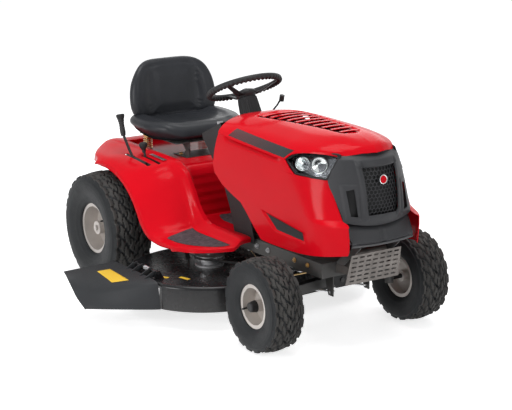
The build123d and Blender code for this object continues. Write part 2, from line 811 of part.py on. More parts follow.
with BuildPart() as discharge_chute:
    with BuildSketch(Plane.XZ.offset(-chute_root_y)):
        polygon([(374, 204), (738, 196), (758, 85), (754, 85), (734, 192), (374, 200)])
    with BuildSketch(Plane.XZ.offset(-right_end)):
        polygon([(384, 204), (481, 128), (566, 87), (563, 84), (478, 124), (384, 199)])
    loft(ruled=True)
    for x in (500, 545, 620, 665):
        rib = [(-604, 194), (chute_root_y, 194), (chute_root_y + 2, 209), (chute_rod_y, chute_rod_z - 10), (chute_rod_y + 10, chute_rod_z), (chute_rod_y, chute_rod_z + 10), (-560, chute_rod_z + 4)]
        plate_yz(rib, x, 5)
    rod((470, chute_rod_y, chute_rod_z), (695, chute_rod_y, chute_rod_z), chute_rod_r + running_gap, Mode.SUBTRACT)
save(discharge_chute, "discharge_chute")

# ---------------------------------------------------------------- deck lift
arm_rise = math.radians(lift_arm_angle)
arm_tip = (lift_x + lift_arm * math.cos(arm_rise), lift_z + lift_arm * math.sin(arm_rise))
lever_path = [
    (lift_x, lift_lever_y, lift_z),
    (85, lift_lever_y, 612),
    (27, lift_lever_y, 680),
    (8, lift_lever_y, 760),
]
with BuildPart() as lift_lever:
    pin_y(lift_x, lift_z, lift_lever_y - 8, lift_arm_y + 8, lift_shaft_r)
    pin_y(lift_x, lift_z, lift_lever_y - 9, lift_lever_y + 9, 16)
    bent_rod(lever_path, 6)
    for side in (1, -1):
        rise = Vector(arm_tip[0] - lift_x, arm_tip[1] - lift_z).normalized()
        across = Vector(-rise.Y, rise.X) * 9
        corners = [
            (lift_x + across.X, lift_z + across.Y),
            (lift_x - across.X, lift_z - across.Y),
            (arm_tip[0] - across.X, arm_tip[1] - across.Y),
            (arm_tip[0] + across.X, arm_tip[1] + across.Y),
        ]
        plate_xz(corners, side * (lift_arm_y - 4), 6)
        pin_y(lift_x, lift_z, side * lift_arm_y - 8, side * lift_arm_y + 8, 17)
        ends = sorted((side * (lift_arm_y - 7), side * (lift_arm_y + 10)))
        pin_y(*arm_tip, ends[0], ends[1], lift_pin_r)
save(lift_lever, "lift_lever")

with BuildPart() as lift_grip:
    grip_low = Vector(*lever_path[2]) + (Vector(*lever_path[3]) - Vector(*lever_path[2])) * 0.08
    grip_high = Vector(*lever_path[3])
    along = grip_high - grip_low
    with BuildSketch(Plane(origin=grip_low, z_dir=along)):
        Circle(10)
    with BuildSketch(Plane(origin=grip_low + along * 0.5, z_dir=along)):
        Circle(12)
    with BuildSketch(Plane(origin=grip_low + along * 1.04, z_dir=along)):
        Circle(18)
    loft()
    rod(lever_path[2], lever_path[3], 6, Mode.SUBTRACT)
save(lift_grip, "lift_grip")

with BuildPart() as lift_links:
    for side in (1, -1):
        y = side * (lift_arm_y + 5)
        strap = [(-10, hanger_pin_z - 11), (10, hanger_pin_z - 11), (9, arm_tip[1]), (-9, arm_tip[1])]
        plate_xz([(arm_tip[0] + x, z) for x, z in strap], y, 4)
        pin_y(*arm_tip, y - 2, y + 2, 9)
        pin_y(*arm_tip, y - 3, y + 3, lift_pin_r + running_gap, Mode.SUBTRACT)
        with BuildSketch(Plane.XZ.offset(-y)):
            with Locations((arm_tip[0], hanger_pin_z)):
                SlotOverall(2 * lift_pin_r + 6.5, 2 * lift_pin_r + 1)
        extrude(amount=3, both=True, mode=Mode.SUBTRACT)
save(lift_links, "lift_links")

with BuildPart() as front_lift_rod:
    for side in (1, -1):
        y = side * front_rod_y
        rod((front_rod_x, y, front_rod_z), (front_rod_end_x, y, front_rod_end_z), front_rod_r * 0.9)
        ends = sorted((y - side * front_rod_r, side * 97))
        pin_y(front_rod_x, front_rod_z, ends[0], ends[1], front_rod_r)
    pin_y(front_rod_end_x, front_rod_end_z, -front_rod_y - front_rod_r, front_rod_y + front_rod_r, front_rod_r)
save(front_lift_rod, "front_lift_rod")

with BuildPart() as shift_lever:
    pin_y(shift_x, shift_z, -301, -282, 12)
    bent_rod([(shift_x, shift_y, shift_z), (160, shift_y, 606), (152, shift_y, 632)], 5)
    with BuildSketch(Plane(origin=(153, shift_y, 622), z_dir=(-0.25, 0, 1))):
        Circle(9)
    with BuildSketch(Plane(origin=(146, shift_y, 650), z_dir=(-0.25, 0, 1))):
        Circle(15)
    loft()
    pin_y(shift_x, shift_z, -302, -281, shift_pin_r, Mode.SUBTRACT)
save(shift_lever, "shift_lever")

pto_y = 120
pto_foot = column_point(cover_low - 9, pto_y)
with BuildPart() as pto_lever:
    pin_y(pto_foot[0], pto_foot[2], pto_y - 7, pto_y + 7, 8)
    bent_rod([pto_foot, (576, pto_y, 820), (574, 142, 838), (594, 150, 872)], 4)
    rod((594, 150, 858), (600, 150, 884), 11)
    pin_y(pto_foot[0], pto_foot[2], pto_y - 8, pto_y + 8, 4, Mode.SUBTRACT)
save(pto_lever, "pto_lever")

with BuildPart() as ignition_key:
    key_plane = column_plane(cover_low)
    key_origin = key_plane.from_local_coords(Vector(-75, -115, 0))
    with BuildSketch(Plane(origin=key_origin, x_dir=key_plane.x_dir, z_dir=key_plane.z_dir)):
        Circle(8)
    extrude(amount=10)
    with BuildSketch(Plane(origin=key_origin, x_dir=key_plane.x_dir, z_dir=key_plane.z_dir)):
        Rectangle(5, 26)
    extrude(amount=30)
    with BuildSketch(Plane(origin=key_origin, x_dir=key_plane.x_dir, z_dir=key_plane.z_dir)):
        Circle(5)
    extrude(amount=-14)
save(ignition_key, "ignition_key")

with BuildPart() as brake_pedal:
    pin_y(pedal_x, pedal_z, 175, 195, 14)
    bent_rod([(pedal_x, 186, pedal_z), (885, 205, 372), (812, 262, 418)], 7)
    with BuildSketch(Plane(origin=(812, 262, 418), x_dir=(0, 1, 0), z_dir=(-0.8, 0, 0.6))):
        with Locations((28, 0)):
            RectangleRounded(92, 66, 12)
    extrude(amount=9, both=True)
    pin_y(pedal_x, pedal_z, 174, 196, pedal_pin_r, Mode.SUBTRACT)
save(brake_pedal, "brake_pedal")

# ---------------------------------------------------------------- hood
# Level by level from the bottom up: height, rear edge, half width, start of the nose
# taper, front corner, and the nose on the centre line.
hood_levels = [
    (370, 640, 232, (1366, 232), (1505, 168), 1508),
    (450, 640, 238, (1366, 236), (1509, 172), 1512),
    (536, 640, 241, (1366, 239), (1508, 174), 1489),
    (550, 640, 241, (1366, 238), (1461, 165), 1492),
    (701, 640, 240, (1300, 224), (1383, 183), 1493),
    (797, 640, 222, (1230, 192), (1398, 130), 1458),
    (822, 640, 203, (1194, 172), (1386, 122), 1432),
    (840, 672, 150, (1159, 140), (1270, 110), 1350),
    (852, 720, 115, (1000, 108), (1100, 80), 1200),
    (860, 764, 60, (900, 60), (980, 50), 1040),
]
hood_rear_profile = [
    (500, 300),
    (500, 812),
    (672, 812),
    (697, 783),
    (663, 705),
    (652, 631),
    (665, 604),
    (735, 557),
    (816, 530),
    (873, 512),
    (915, 467),
    (966, 413),
    (996, 387),
    (1047, 384),
    (1244, 388),
    (1386, 404),
    (1507, 423),
    (1600, 423),
    (1600, 300),
]
headlight_profile = [(1140, 742), (1207, 783), (1398, 797), (1383, 703), (1226, 703)]


def hood_form(inset):
    """The hood's solid form, drawn in by inset on every side but its open bottom."""
    with BuildPart() as form:
        for height, rear, half, taper, corner, nose in hood_levels:
            drop = inset if height > 750 else 0
            with BuildSketch(Plane.XY.offset(height - drop)):
                side = [
                    (rear + inset, half - inset),
                    (taper[0] - inset / 2, taper[1] - inset),
                    (corner[0] - inset, corner[1] - inset),
                ]
                front = [(nose - inset, 0)]
                polygon(side + front + [(x, -y) for x, y in reversed(side)])
        loft(ruled=True)
    return form


hood_outside = hood_form(0)
hood_inside = hood_form(hood_wall)
trim_inside = hood_form(trim_wall)

with BuildPart() as hood_shell:
    add(hood_outside.part)
    add(hood_inside.part, mode=Mode.SUBTRACT)
    plate_xz(hood_rear_profile, 0, 700, Mode.SUBTRACT)
    nose_cut = [(-146 - trim_gap, 440), (146 + trim_gap, 440), (167 + trim_gap, 520)]
    nose_cut += [(165 + trim_gap, 550), (183 + trim_gap, 701), (131 + trim_gap, 797 + trim_gap)]
    nose_cut += [(60, 816), (-60, 816), (-131 - trim_gap, 797 + trim_gap), (-183 - trim_gap, 701)]
    nose_cut += [(-165 - trim_gap, 550), (-167 - trim_gap, 520)]
    plate_yz(nose_cut, 1480, 200, Mode.SUBTRACT)
    plate_xz(headlight_profile, 180, 160, Mode.SUBTRACT)
    plate_xz(headlight_profile, -180, 160, Mode.SUBTRACT)
    for index in range(8):
        slot_x = 880 + 46 * index
        slot_half = 96 - 8 * index
        block(slot_x, slot_x + 16, -slot_half, slot_half, 800, 900, Mode.SUBTRACT)
save(hood_shell, "hood_shell")

with BuildPart() as grille:
    grille_right = [(165, 520.3), (164, 550), (182, 701), (130, 796), (60, 815)]
    grille_left = [(-y, z) for y, z in reversed(grille_right)]
    plate_yz(grille_right + grille_left, 1450, 140)
    add(hood_outside.part, mode=Mode.INTERSECT)
    add(trim_inside.part, mode=Mode.SUBTRACT)
    with BuildSketch(Plane.YZ.offset(1380)) as openings:
        with Locations((0, 662)):
            with HexLocations(8.4, 7, 10):
                Circle(6.4)
        for y in (-125, 125):
            with Locations((y, 617)):
                Rectangle(30, 106)
    extrude(openings.sketch, amount=160, mode=Mode.SUBTRACT)
save(grille, "grille")

with BuildPart() as bumper:
    plate_yz([(-145, 449), (145, 449), (166, 520), (-166, 520)], 1450, 140)
    add(hood_outside.part, mode=Mode.INTERSECT)
    add(trim_inside.part, mode=Mode.SUBTRACT)
    for side in (1, -1):
        for near in (strap_y - 8, strap_y + 8):
            lug = [(hinge_x - 9, hinge_z - 9), (hinge_x + 9, hinge_z - 9), (1499, 452), (1497, 480)]
            lug.append((hinge_x - 9, hinge_z + 9))
            plate_xz(lug, side * near, 6)
        ends = sorted((side * (strap_y - 10), side * (strap_y + 10)))
        pin_y(hinge_x, hinge_z, ends[0], ends[1], hinge_r)
save(bumper, "bumper")

with BuildPart() as headlights:
    lamp = [(1144, 742), (1209, 781), (1396, 795), (1381, 705), (1228, 705)]
    for side in (1, -1):
        plate_xz(lamp, side * 180, 158)
    add(hood_outside.part, mode=Mode.INTERSECT)
    add(trim_inside.part, mode=Mode.SUBTRACT)
    add(grille.part, mode=Mode.SUBTRACT)
save(headlights, "headlights")

# ---------------------------------------------------------------- fenders and floor
sheet = 4
# Each run of the pressing, from the rear skirt over the seat floor to the footboard.
middle_run = [
    (-252, 540), (-246, 588), (-165, 596), (-155, 573), (330, 573), (345, 575),
    (378, 570), (395, 545), (444, 370), (460, 356), (846, 356), (856, 332),
]
ridge_run = [
    (-252, 540), (-246, 596), (-100, 606), (112, 604), (313, 598), (422, 563),
    (477, 494), (517, 435), (557, 396), (610, 364), (846, 360), (856, 334),
]
fender_run = [
    (-252, 540), (-246, 590), (-100, 600), (112, 598), (290, 590), (390, 548),
    (450, 478), (486, 418), (514, 362), (556, 326), (846, 326), (856, 306),
]
lip_run = [
    (-252, 500), (-246, 540), (-120, 566), (60, 562), (170, 540), (273, 494),
    (343, 420), (385, 372), (430, 330), (500, 314), (846, 314), (856, 300),
]
floor_half = 207
floor_high = middle_run[-2][1]
mat_thick = 2
mat_lift = 0.2
ridge_half = 252
lip_half = 437


def sheet_section(run):
    """The closed section of a pressed sheet that follows a run of points."""
    return run + [(x, z - sheet) for x, z in reversed(run)]


with BuildPart() as fender_body:
    plate_xz(sheet_section(middle_run), 0, 2 * floor_half)
    for side in (1, -1):
        plate_xz(sheet_section(ridge_run), side * (floor_half + ridge_half) / 2, ridge_half - floor_half)
        with BuildSketch(Plane.XZ.offset(-side * ridge_half)) as inner_section:
            polygon(sheet_section(fender_run))
        with BuildSketch(Plane.XZ.offset(-side * lip_half)) as outer_section:
            polygon(sheet_section(lip_run))
        loft([inner_section.sketch, outer_section.sketch], ruled=True)
        # Walls that join the runs where they part.
        recess = [(-160, 594)] + ridge_run[2:-1] + list(reversed(middle_run[3:-1]))
        plate_xz(recess, side * floor_half, sheet)
        sunk_run = [(x, z - sheet / 2) for x, z in reversed(fender_run[2:-2])]
        shoulder = [(-240, 592)] + ridge_run[2:-1] + [(846, 322)] + sunk_run
        plate_xz(shoulder, side * ridge_half, sheet)
        skirt = lip_run[:-1] + [(x, z - 22) for x, z in reversed(lip_run[:-1])]
        plate_xz(skirt, side * (lip_half - 2), sheet)
    plan_half = [
        (-252, 240), (-225, 290), (-138, 365), (-44, 418), (60, 436),
        (753, 438), (821, 384), (852, 293), (857, 180),
    ]
    with BuildSketch(Plane.XY.offset(250)) as plan:
        polygon(plan_half + [(x, -y) for x, y in reversed(plan_half)])
    extrude(plan.sketch, amount=500, mode=Mode.INTERSECT)
    # Slots for the two levers, and holes over the springs' and pedal's places.
    block(55, 262, lift_lever_y - 9, lift_lever_y + 9, 470, 640, Mode.SUBTRACT)
    block(146, 290, shift_y - 7, shift_y + 7, 500, 640, Mode.SUBTRACT)
    # The floor stops at the dash.
    block(726, 900, -190, 190, 300, 400, Mode.SUBTRACT)
    # Feet that stand on the rails.
    for y in (-155, 155):
        block(-150, -120, y - 12, y + 12, rail_high, seat_floor - 2)
        block(340, 360, y - 12, y + 12, rail_high, seat_floor - 2)
save(fender_body, "fender_body")

with BuildPart() as tread_mats:
    for side in (1, -1):
        with BuildSketch(Plane.XY.offset(floor_high)) as middle_mat:
            polygon([(474, side * 8), (474, side * 96), (560, side * 132), (690, side * 132), (690, side * 8)])
        extrude(middle_mat.sketch, amount=mat_thick)
        slope = math.degrees(math.atan2(lip_run[-2][1] - fender_run[-2][1], lip_half - ridge_half))
        mat_plane = Plane(
            origin=(0, side * ridge_half, fender_run[-2][1]),
            x_dir=(1, 0, 0),
            z_dir=(0, -side * math.sin(math.radians(slope)), math.cos(math.radians(slope))),
        )
        with BuildSketch(mat_plane.offset(mat_lift)) as outer_mat:
            polygon([(600, side * 12), (568, side * 120), (720, side * 125), (770, side * 60), (770, side * 12)])
        extrude(outer_mat.sketch, amount=mat_thick)
save(tread_mats, "tread_mats")

dash_wall = 3
dash_half = 186
dash_outer = [
    (480, 736), (486, 716), (560, 640), (640, 560), (700, 440), (735, 332),
    (878, 332), (878, 350), (832, 492), (716, 556), (700, 700), (640, 760), (630, 806),
]
dash_inner = [
    (484, 734), (489, 718), (563, 643), (643, 563), (703, 441), (738, 320),
    (900, 320), (900, 500), (832, 520), (760, 600), (720, 740), (650, 790), (632, 803),
]
with BuildPart() as dash_panel:
    plate_xz(dash_outer, 0, 2 * dash_half)
    plate_xz(dash_inner, 0, 2 * (dash_half - dash_wall), Mode.SUBTRACT)
    block(650, 900, -rail_out - 5, rail_out + 5, 300, rail_high + 2, Mode.SUBTRACT)
    rod(column_point(110), column_point(190), shaft_r + 1, Mode.SUBTRACT)
    ear_plane = [(-12, 0), (12, 0), (8, 18), (-8, 18)]
    # Ears for the levers, standing on the dash.
    for y in (pto_y - 10, pto_y + 10):
        corners = [column_plane(cover_low).from_local_coords(Vector(u, y, v - 2)) for u, v in ear_plane]
        plate_xz([(c.X, c.Z) for c in corners], y, 4)
    pin_y(pto_foot[0], pto_foot[2], pto_y - 10, pto_y + 10, 4 - running_gap)
    rod(tuple(key_origin), tuple(key_plane.from_local_coords(Vector(-75, -115, -20))), 5.05, Mode.SUBTRACT)
save(dash_panel, "dash_panel")

# ---------------------------------------------------------------- seat
with BuildPart() as seat_bracket:
    block(120, 236, -118, 118, seat_floor, seat_floor + 4)
    for y in (-100, 100):
        ear = [(180, seat_floor), (236, seat_floor), (226, seat_pivot_z + 10), (204, seat_pivot_z + 10)]
        plate_xz(ear, y, 4)
        ends = sorted((y, y - math.copysign(12, y)))
        pin_y(seat_pivot_x, seat_pivot_z, ends[0], ends[1], seat_pivot_r - running_gap)
save(seat_bracket, "seat_bracket")

with BuildPart() as seat_pan:
    block(-100, 226, -165, 165, pan_z, pan_z + 3)
    for y in (-94, 94):
        ear = [(204, seat_pivot_z - 11), (226, seat_pivot_z - 11), (226, pan_z + 1), (150, pan_z + 1)]
        plate_xz(ear, y, 4)
        pin_y(seat_pivot_x, seat_pivot_z, y - 3, y + 3, seat_pivot_r, Mode.SUBTRACT)
    for y in (-60, 60):
        with BuildSketch(Plane.XY.offset(pan_z - 1)) as slot:
            with Locations((60, y)):
                SlotOverall(110, 10.4)
        extrude(slot.sketch, amount=6, mode=Mode.SUBTRACT)
save(seat_pan, "seat_pan")

with BuildPart() as seat_springs:
    coil_low = seat_floor + link_gap + 3
    for y in (-spring_y, spring_y):
        with BuildLine() as coil:
            Helix(pitch=10, height=pan_z - coil_low - 2.5, radius=19, center=(spring_x, y, coil_low))
        with BuildSketch(Plane(origin=coil.line @ 0, z_dir=coil.line % 0)) as wire:
            Circle(2.4)
        sweep(wire.sketch, path=coil.line, is_frenet=True)
        post(spring_x, y, pan_z - 14, pan_z, 15)
        post(spring_x, y, pan_z - 4, pan_z, 22)
save(seat_springs, "seat_springs")

with BuildPart() as seat:
    with BuildSketch(Plane.XY.offset(seat_low)) as cushion:
        with Locations((58, 0)):
            RectangleRounded(366, 2 * seat_half, 90)
    extrude(cushion.sketch, amount=76)
    fillet(seat.edges().group_by(Axis.Z)[0] + seat.edges().group_by(Axis.Z)[-1], 26)
    back_plane = Plane(origin=(-98, 0, 690), x_dir=(0, 1, 0), z_dir=(1, 0, 0.14))
    with BuildSketch(back_plane) as back:
        with Locations((0, 145)):
            RectangleRounded(440, 290, 110)
    extrude(back.sketch, amount=32, both=True)
    block(-40, 160, -150, 150, pan_z + 3 + seat_gap, seat_low + 10)
    for y in (-60, 60):
        post(60, y, pan_z - 2, pan_z + 4, 5)
        post(60, y, pan_z - 8, pan_z - 1, 9)
save(seat, "seat")
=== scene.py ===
"""Looks of a ride-on mower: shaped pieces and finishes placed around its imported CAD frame."""

import json
import math

import bmesh
import bpy
from mathutils import Matrix, Vector

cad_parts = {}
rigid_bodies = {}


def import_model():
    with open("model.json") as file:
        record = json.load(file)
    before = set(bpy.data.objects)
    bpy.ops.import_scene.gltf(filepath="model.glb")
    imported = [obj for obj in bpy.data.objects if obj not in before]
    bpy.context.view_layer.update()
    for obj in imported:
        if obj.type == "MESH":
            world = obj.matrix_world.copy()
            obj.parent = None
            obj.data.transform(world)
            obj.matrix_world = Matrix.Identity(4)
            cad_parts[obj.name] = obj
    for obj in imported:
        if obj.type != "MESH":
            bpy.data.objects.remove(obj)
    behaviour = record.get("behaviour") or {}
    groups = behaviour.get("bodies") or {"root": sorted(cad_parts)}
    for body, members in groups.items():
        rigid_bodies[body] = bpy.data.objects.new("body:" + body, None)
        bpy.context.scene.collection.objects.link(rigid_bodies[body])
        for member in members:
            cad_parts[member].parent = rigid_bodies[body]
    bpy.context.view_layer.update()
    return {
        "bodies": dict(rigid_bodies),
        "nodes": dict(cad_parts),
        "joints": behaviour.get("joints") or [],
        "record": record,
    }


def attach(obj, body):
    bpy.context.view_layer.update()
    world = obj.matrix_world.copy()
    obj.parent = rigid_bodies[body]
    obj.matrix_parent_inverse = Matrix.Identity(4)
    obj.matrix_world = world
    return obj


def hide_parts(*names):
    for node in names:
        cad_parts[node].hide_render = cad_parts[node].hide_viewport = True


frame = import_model()

bl_info = {
    "name": "Ride-On Mower Parts",
    "version": (1, 0, 0),
    "blender": (4, 5, 0),
    "location": "View3D > Sidebar > Mower",
    "description": "Builds the shaped pieces and finishes of a ride-on mower around its frame",
    "category": "Object",
}

# The frame's origin is under the middle of the machine. Sizes below are in millimetres
# forward of the rear axle, left of the centre line and up from the ground.
AXLE_BACK = 629.0
CENTRE_LEFT = 143.0


def place(x, y, z):
    """A point given in millimetres from the rear axle, in the frame's metres."""
    return Vector(((x - AXLE_BACK) / 1000, (y + CENTRE_LEFT) / 1000, z / 1000))


def between(value, table):
    """Reads a table of (position, value) pairs, with straight lines between them."""
    if value <= table[0][0]:
        return table[0][1]
    for (low, first), (high, second) in zip(table, table[1:]):
        if value <= high:
            return first + (second - first) * (value - low) / (high - low)
    return table[-1][1]


# ---------------------------------------------------------------- mesh tools
def new_object(name, points, faces, smooth=True):
    """A mesh object in the scene, from points in metres."""
    mesh = bpy.data.meshes.new(name)
    mesh.from_pydata([tuple(p) for p in points], [], faces)
    mesh.validate()
    made = bpy.data.objects.new(name, mesh)
    bpy.context.scene.collection.objects.link(made)
    if smooth:
        mesh.shade_smooth()
    return made


def grid_faces(rows, columns, closed_rows=False, closed_columns=False):
    """Quads over a grid of points, row after row."""
    faces = []
    for row in range(rows if closed_rows else rows - 1):
        after = (row + 1) % rows
        for column in range(columns if closed_columns else columns - 1):
            beside = (column + 1) % columns
            faces.append((
                row * columns + column,
                row * columns + beside,
                after * columns + beside,
                after * columns + column,
            ))
    return faces


def grid_object(name, rows, closed_rows=False, closed_columns=False):
    """A sheet over rows of points, all of one length."""
    points = [point for row in rows for point in row]
    faces = grid_faces(len(rows), len(rows[0]), closed_rows, closed_columns)
    return new_object(name, points, faces)


def add_modifier(made, kind, **settings):
    """A modifier with its settings."""
    modifier = made.modifiers.new(kind.title(), kind)
    for key, value in settings.items():
        setattr(modifier, key, value)
    return modifier


def apply_modifiers(made):
    """The object's mesh as its modifiers leave it, with none left on it."""
    bpy.context.view_layer.update()
    seen = made.evaluated_get(bpy.context.evaluated_depsgraph_get())
    mesh = bpy.data.meshes.new_from_object(seen)
    made.modifiers.clear()
    made.data = mesh
    return made


def flip_if_inside_out(made):
    """Turns the mesh's faces outwards."""
    work = bmesh.new()
    work.from_mesh(made.data)
    bmesh.ops.recalc_face_normals(work, faces=work.faces)
    work.to_mesh(made.data)
    work.free()
    return made


def crisp(made, degrees=35):
    """Smooth faces with sharp edges where they meet at more than this angle."""
    made.data.shade_smooth()
    made.data.set_sharp_from_angle(angle=math.radians(degrees))
    return made


def turned(name, profile, axis="y", steps=72):
    """A closed ring or disc turned from (along, radius) points in metres about the origin."""
    rows = []
    for step in range(steps):
        angle = 2 * math.pi * step / steps
        side, up = math.cos(angle), math.sin(angle)
        row = []
        for along, radius in profile:
            if axis == "y":
                row.append((radius * side, along, radius * up))
            elif axis == "z":
                row.append((radius * side, radius * up, along))
            else:
                row.append((along, radius * side, radius * up))
        rows.append(row)
    made = grid_object(name, rows, closed_rows=True, closed_columns=True)
    return flip_if_inside_out(made)


def tube(name, points, radius, steps=16):
    """A round bar along points, with its radius the same or given for each point."""
    path = [Vector(p) for p in points]
    radii = radius if isinstance(radius, (list, tuple)) else [radius] * len(path)
    rows = []
    across = None
    for index, point in enumerate(path):
        before = path[max(index - 1, 0)]
        after = path[min(index + 1, len(path) - 1)]
        along = (after - before).normalized()
        if across is None:
            across = along.orthogonal().normalized()
        across = (across - along * across.dot(along)).normalized()
        beside = along.cross(across)
        row = []
        for step in range(steps):
            angle = 2 * math.pi * step / steps
            row.append(point + (across * math.cos(angle) + beside * math.sin(angle)) * radii[index])
        rows.append(row)
    made = grid_object(name, rows, closed_columns=True)
    close_ends(made)
    return crisp(flip_if_inside_out(made), 50)


def close_ends(made):
    """Fills the open ends of a sheet that is closed round its length."""
    work = bmesh.new()
    work.from_mesh(made.data)
    edges = [edge for edge in work.edges if edge.is_boundary]
    bmesh.ops.holes_fill(work, edges=edges, sides=0)
    work.to_mesh(made.data)
    work.free()


def slab(name, outline, thick, origin, across, up, bevel=0.002):
    """A plate cut to an outline of (across, up) points in metres, with eased edges."""
    across = Vector(across).normalized()
    up = Vector(up).normalized()
    out = across.cross(up)
    origin = Vector(origin)
    front = [origin + across * a + up * b + out * (thick / 2) for a, b in outline]
    back = [origin + across * a + up * b - out * (thick / 2) for a, b in outline]
    count = len(outline)
    faces = [tuple(range(count)), tuple(range(2 * count - 1, count - 1, -1))]
    for index in range(count):
        beside = (index + 1) % count
        faces.append((index, index + count, beside + count, beside))
    made = flip_if_inside_out(new_object(name, front + back, faces, smooth=False))
    if bevel:
        add_modifier(made, "BEVEL", width=bevel, segments=3, limit_method="ANGLE",
                     angle_limit=math.radians(30))
        apply_modifiers(made)
    return crisp(made, 40)


def cut(made, tool):
    """Takes the tool's shape out of the object, and removes the tool."""
    add_modifier(made, "BOOLEAN", operation="DIFFERENCE", solver="EXACT", object=tool)
    apply_modifiers(made)
    bpy.data.objects.remove(tool)
    return made


def join(name, pieces):
    """One object from several, each keeping its own finish."""
    with bpy.context.temp_override(
        active_object=pieces[0], object=pieces[0], selected_editable_objects=pieces, selected_objects=pieces
    ):
        bpy.ops.object.join()
    pieces[0].name = name
    return pieces[0]


def finish_piece(made, name, body, finish=None, instead_of=()):
    """Gives a piece its name, finish and body, and hides the CAD nodes that it stands for."""
    made.name = name
    made.data.name = name
    if finish is not None:
        made.data.materials.clear()
        made.data.materials.append(finish)
    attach(made, body)
    if instead_of:
        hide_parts(*instead_of)
    return made


# ---------------------------------------------------------------- finishes
def finish(name, first, second, rough, rough_spread=0.06, metal=0.0, coat=0.0, coat_rough=0.05,
           grain=600.0, grain_depth=0.0004, patch=6.0, specular=0.24, edge=None, sheen=0.0):
    """A finish that varies: two colours in soft patches, uneven gloss, a fine grain and worn edges."""
    made = bpy.data.materials.new(name)
    made.use_nodes = True
    nodes, links = made.node_tree.nodes, made.node_tree.links
    shader = nodes["Principled BSDF"]
    shader.inputs["Metallic"].default_value = metal
    shader.inputs["Coat Weight"].default_value = coat
    shader.inputs["Coat Roughness"].default_value = coat_rough
    shader.inputs["Specular IOR Level"].default_value = specular
    shader.inputs["Sheen Weight"].default_value = sheen
    where = nodes.new("ShaderNodeTexCoord")
    cloud = nodes.new("ShaderNodeTexNoise")
    cloud.inputs["Scale"].default_value = patch
    cloud.inputs["Detail"].default_value = 5.0
    links.new(where.outputs["Object"], cloud.inputs["Vector"])
    tint = nodes.new("ShaderNodeValToRGB")
    tint.color_ramp.elements[0].position = 0.3
    tint.color_ramp.elements[0].color = (*first, 1)
    tint.color_ramp.elements[1].position = 0.7
    tint.color_ramp.elements[1].color = (*second, 1)
    links.new(cloud.outputs["Fac"], tint.inputs["Fac"])
    colour = tint.outputs["Color"]
    if edge is not None:
        shape = nodes.new("ShaderNodeNewGeometry")
        worn = nodes.new("ShaderNodeValToRGB")
        worn.color_ramp.elements[0].position = 0.53
        worn.color_ramp.elements[0].color = (0, 0, 0, 1)
        worn.color_ramp.elements[1].position = 0.6
        worn.color_ramp.elements[1].color = (1, 1, 1, 1)
        links.new(shape.outputs["Pointiness"], worn.inputs["Fac"])
        mixed = nodes.new("ShaderNodeMix")
        mixed.data_type = "RGBA"
        mixed.inputs["B"].default_value = (*edge, 1)
        links.new(worn.outputs["Color"], mixed.inputs["Factor"])
        links.new(colour, mixed.inputs["A"])
        colour = mixed.outputs["Result"]
    links.new(colour, shader.inputs["Base Color"])
    gloss = nodes.new("ShaderNodeMapRange")
    gloss.inputs["To Min"].default_value = max(rough - rough_spread, 0.02)
    gloss.inputs["To Max"].default_value = min(rough + rough_spread, 1.0)
    smear = nodes.new("ShaderNodeTexNoise")
    smear.inputs["Scale"].default_value = patch * 5
    smear.inputs["Detail"].default_value = 6.0
    links.new(where.outputs["Object"], smear.inputs["Vector"])
    links.new(smear.outputs["Fac"], gloss.inputs["Value"])
    links.new(gloss.outputs["Result"], shader.inputs["Roughness"])
    if grain_depth:
        fine = nodes.new("ShaderNodeTexNoise")
        fine.inputs["Scale"].default_value = grain
        fine.inputs["Detail"].default_value = 3.0
        links.new(where.outputs["Object"], fine.inputs["Vector"])
        bump = nodes.new("ShaderNodeBump")
        bump.inputs["Strength"].default_value = 0.6
        bump.inputs["Distance"].default_value = grain_depth
        links.new(fine.outputs["Fac"], bump.inputs["Height"])
        links.new(bump.outputs["Normal"], shader.inputs["Normal"])
    return made


def leather_finish(name, first, second, rough):
    """Moulded vinyl with a pebbled grain."""
    made = finish(name, first, second, rough, 0.07, grain_depth=0.0, patch=9.0)
    nodes, links = made.node_tree.nodes, made.node_tree.links
    where = nodes["Texture Coordinate"]
    pebble = nodes.new("ShaderNodeTexVoronoi")
    pebble.feature = "DISTANCE_TO_EDGE"
    pebble.inputs["Scale"].default_value = 520.0
    links.new(where.outputs["Object"], pebble.inputs["Vector"])
    bump = nodes.new("ShaderNodeBump")
    bump.inputs["Strength"].default_value = 0.35
    bump.inputs["Distance"].default_value = 0.0006
    links.new(pebble.outputs["Distance"], bump.inputs["Height"])
    links.new(bump.outputs["Normal"], nodes["Principled BSDF"].inputs["Normal"])
    return made


def brushed_finish(name, first, second, rough, stretch=(1, 1, 40)):
    """Metal with fine lines drawn one way."""
    made = finish(name, first, second, rough, 0.1, metal=1.0, grain_depth=0.0, patch=14.0)
    nodes, links = made.node_tree.nodes, made.node_tree.links
    where = nodes["Texture Coordinate"]
    pull = nodes.new("ShaderNodeMapping")
    pull.inputs["Scale"].default_value = stretch
    lines = nodes.new("ShaderNodeTexNoise")
    lines.inputs["Scale"].default_value = 40.0
    lines.inputs["Detail"].default_value = 4.0
    links.new(where.outputs["Object"], pull.inputs["Vector"])
    links.new(pull.outputs["Vector"], lines.inputs["Vector"])
    bump = nodes.new("ShaderNodeBump")
    bump.inputs["Strength"].default_value = 0.3
    bump.inputs["Distance"].default_value = 0.0003
    links.new(lines.outputs["Fac"], bump.inputs["Height"])
    links.new(bump.outputs["Normal"], nodes["Principled BSDF"].inputs["Normal"])
    return made


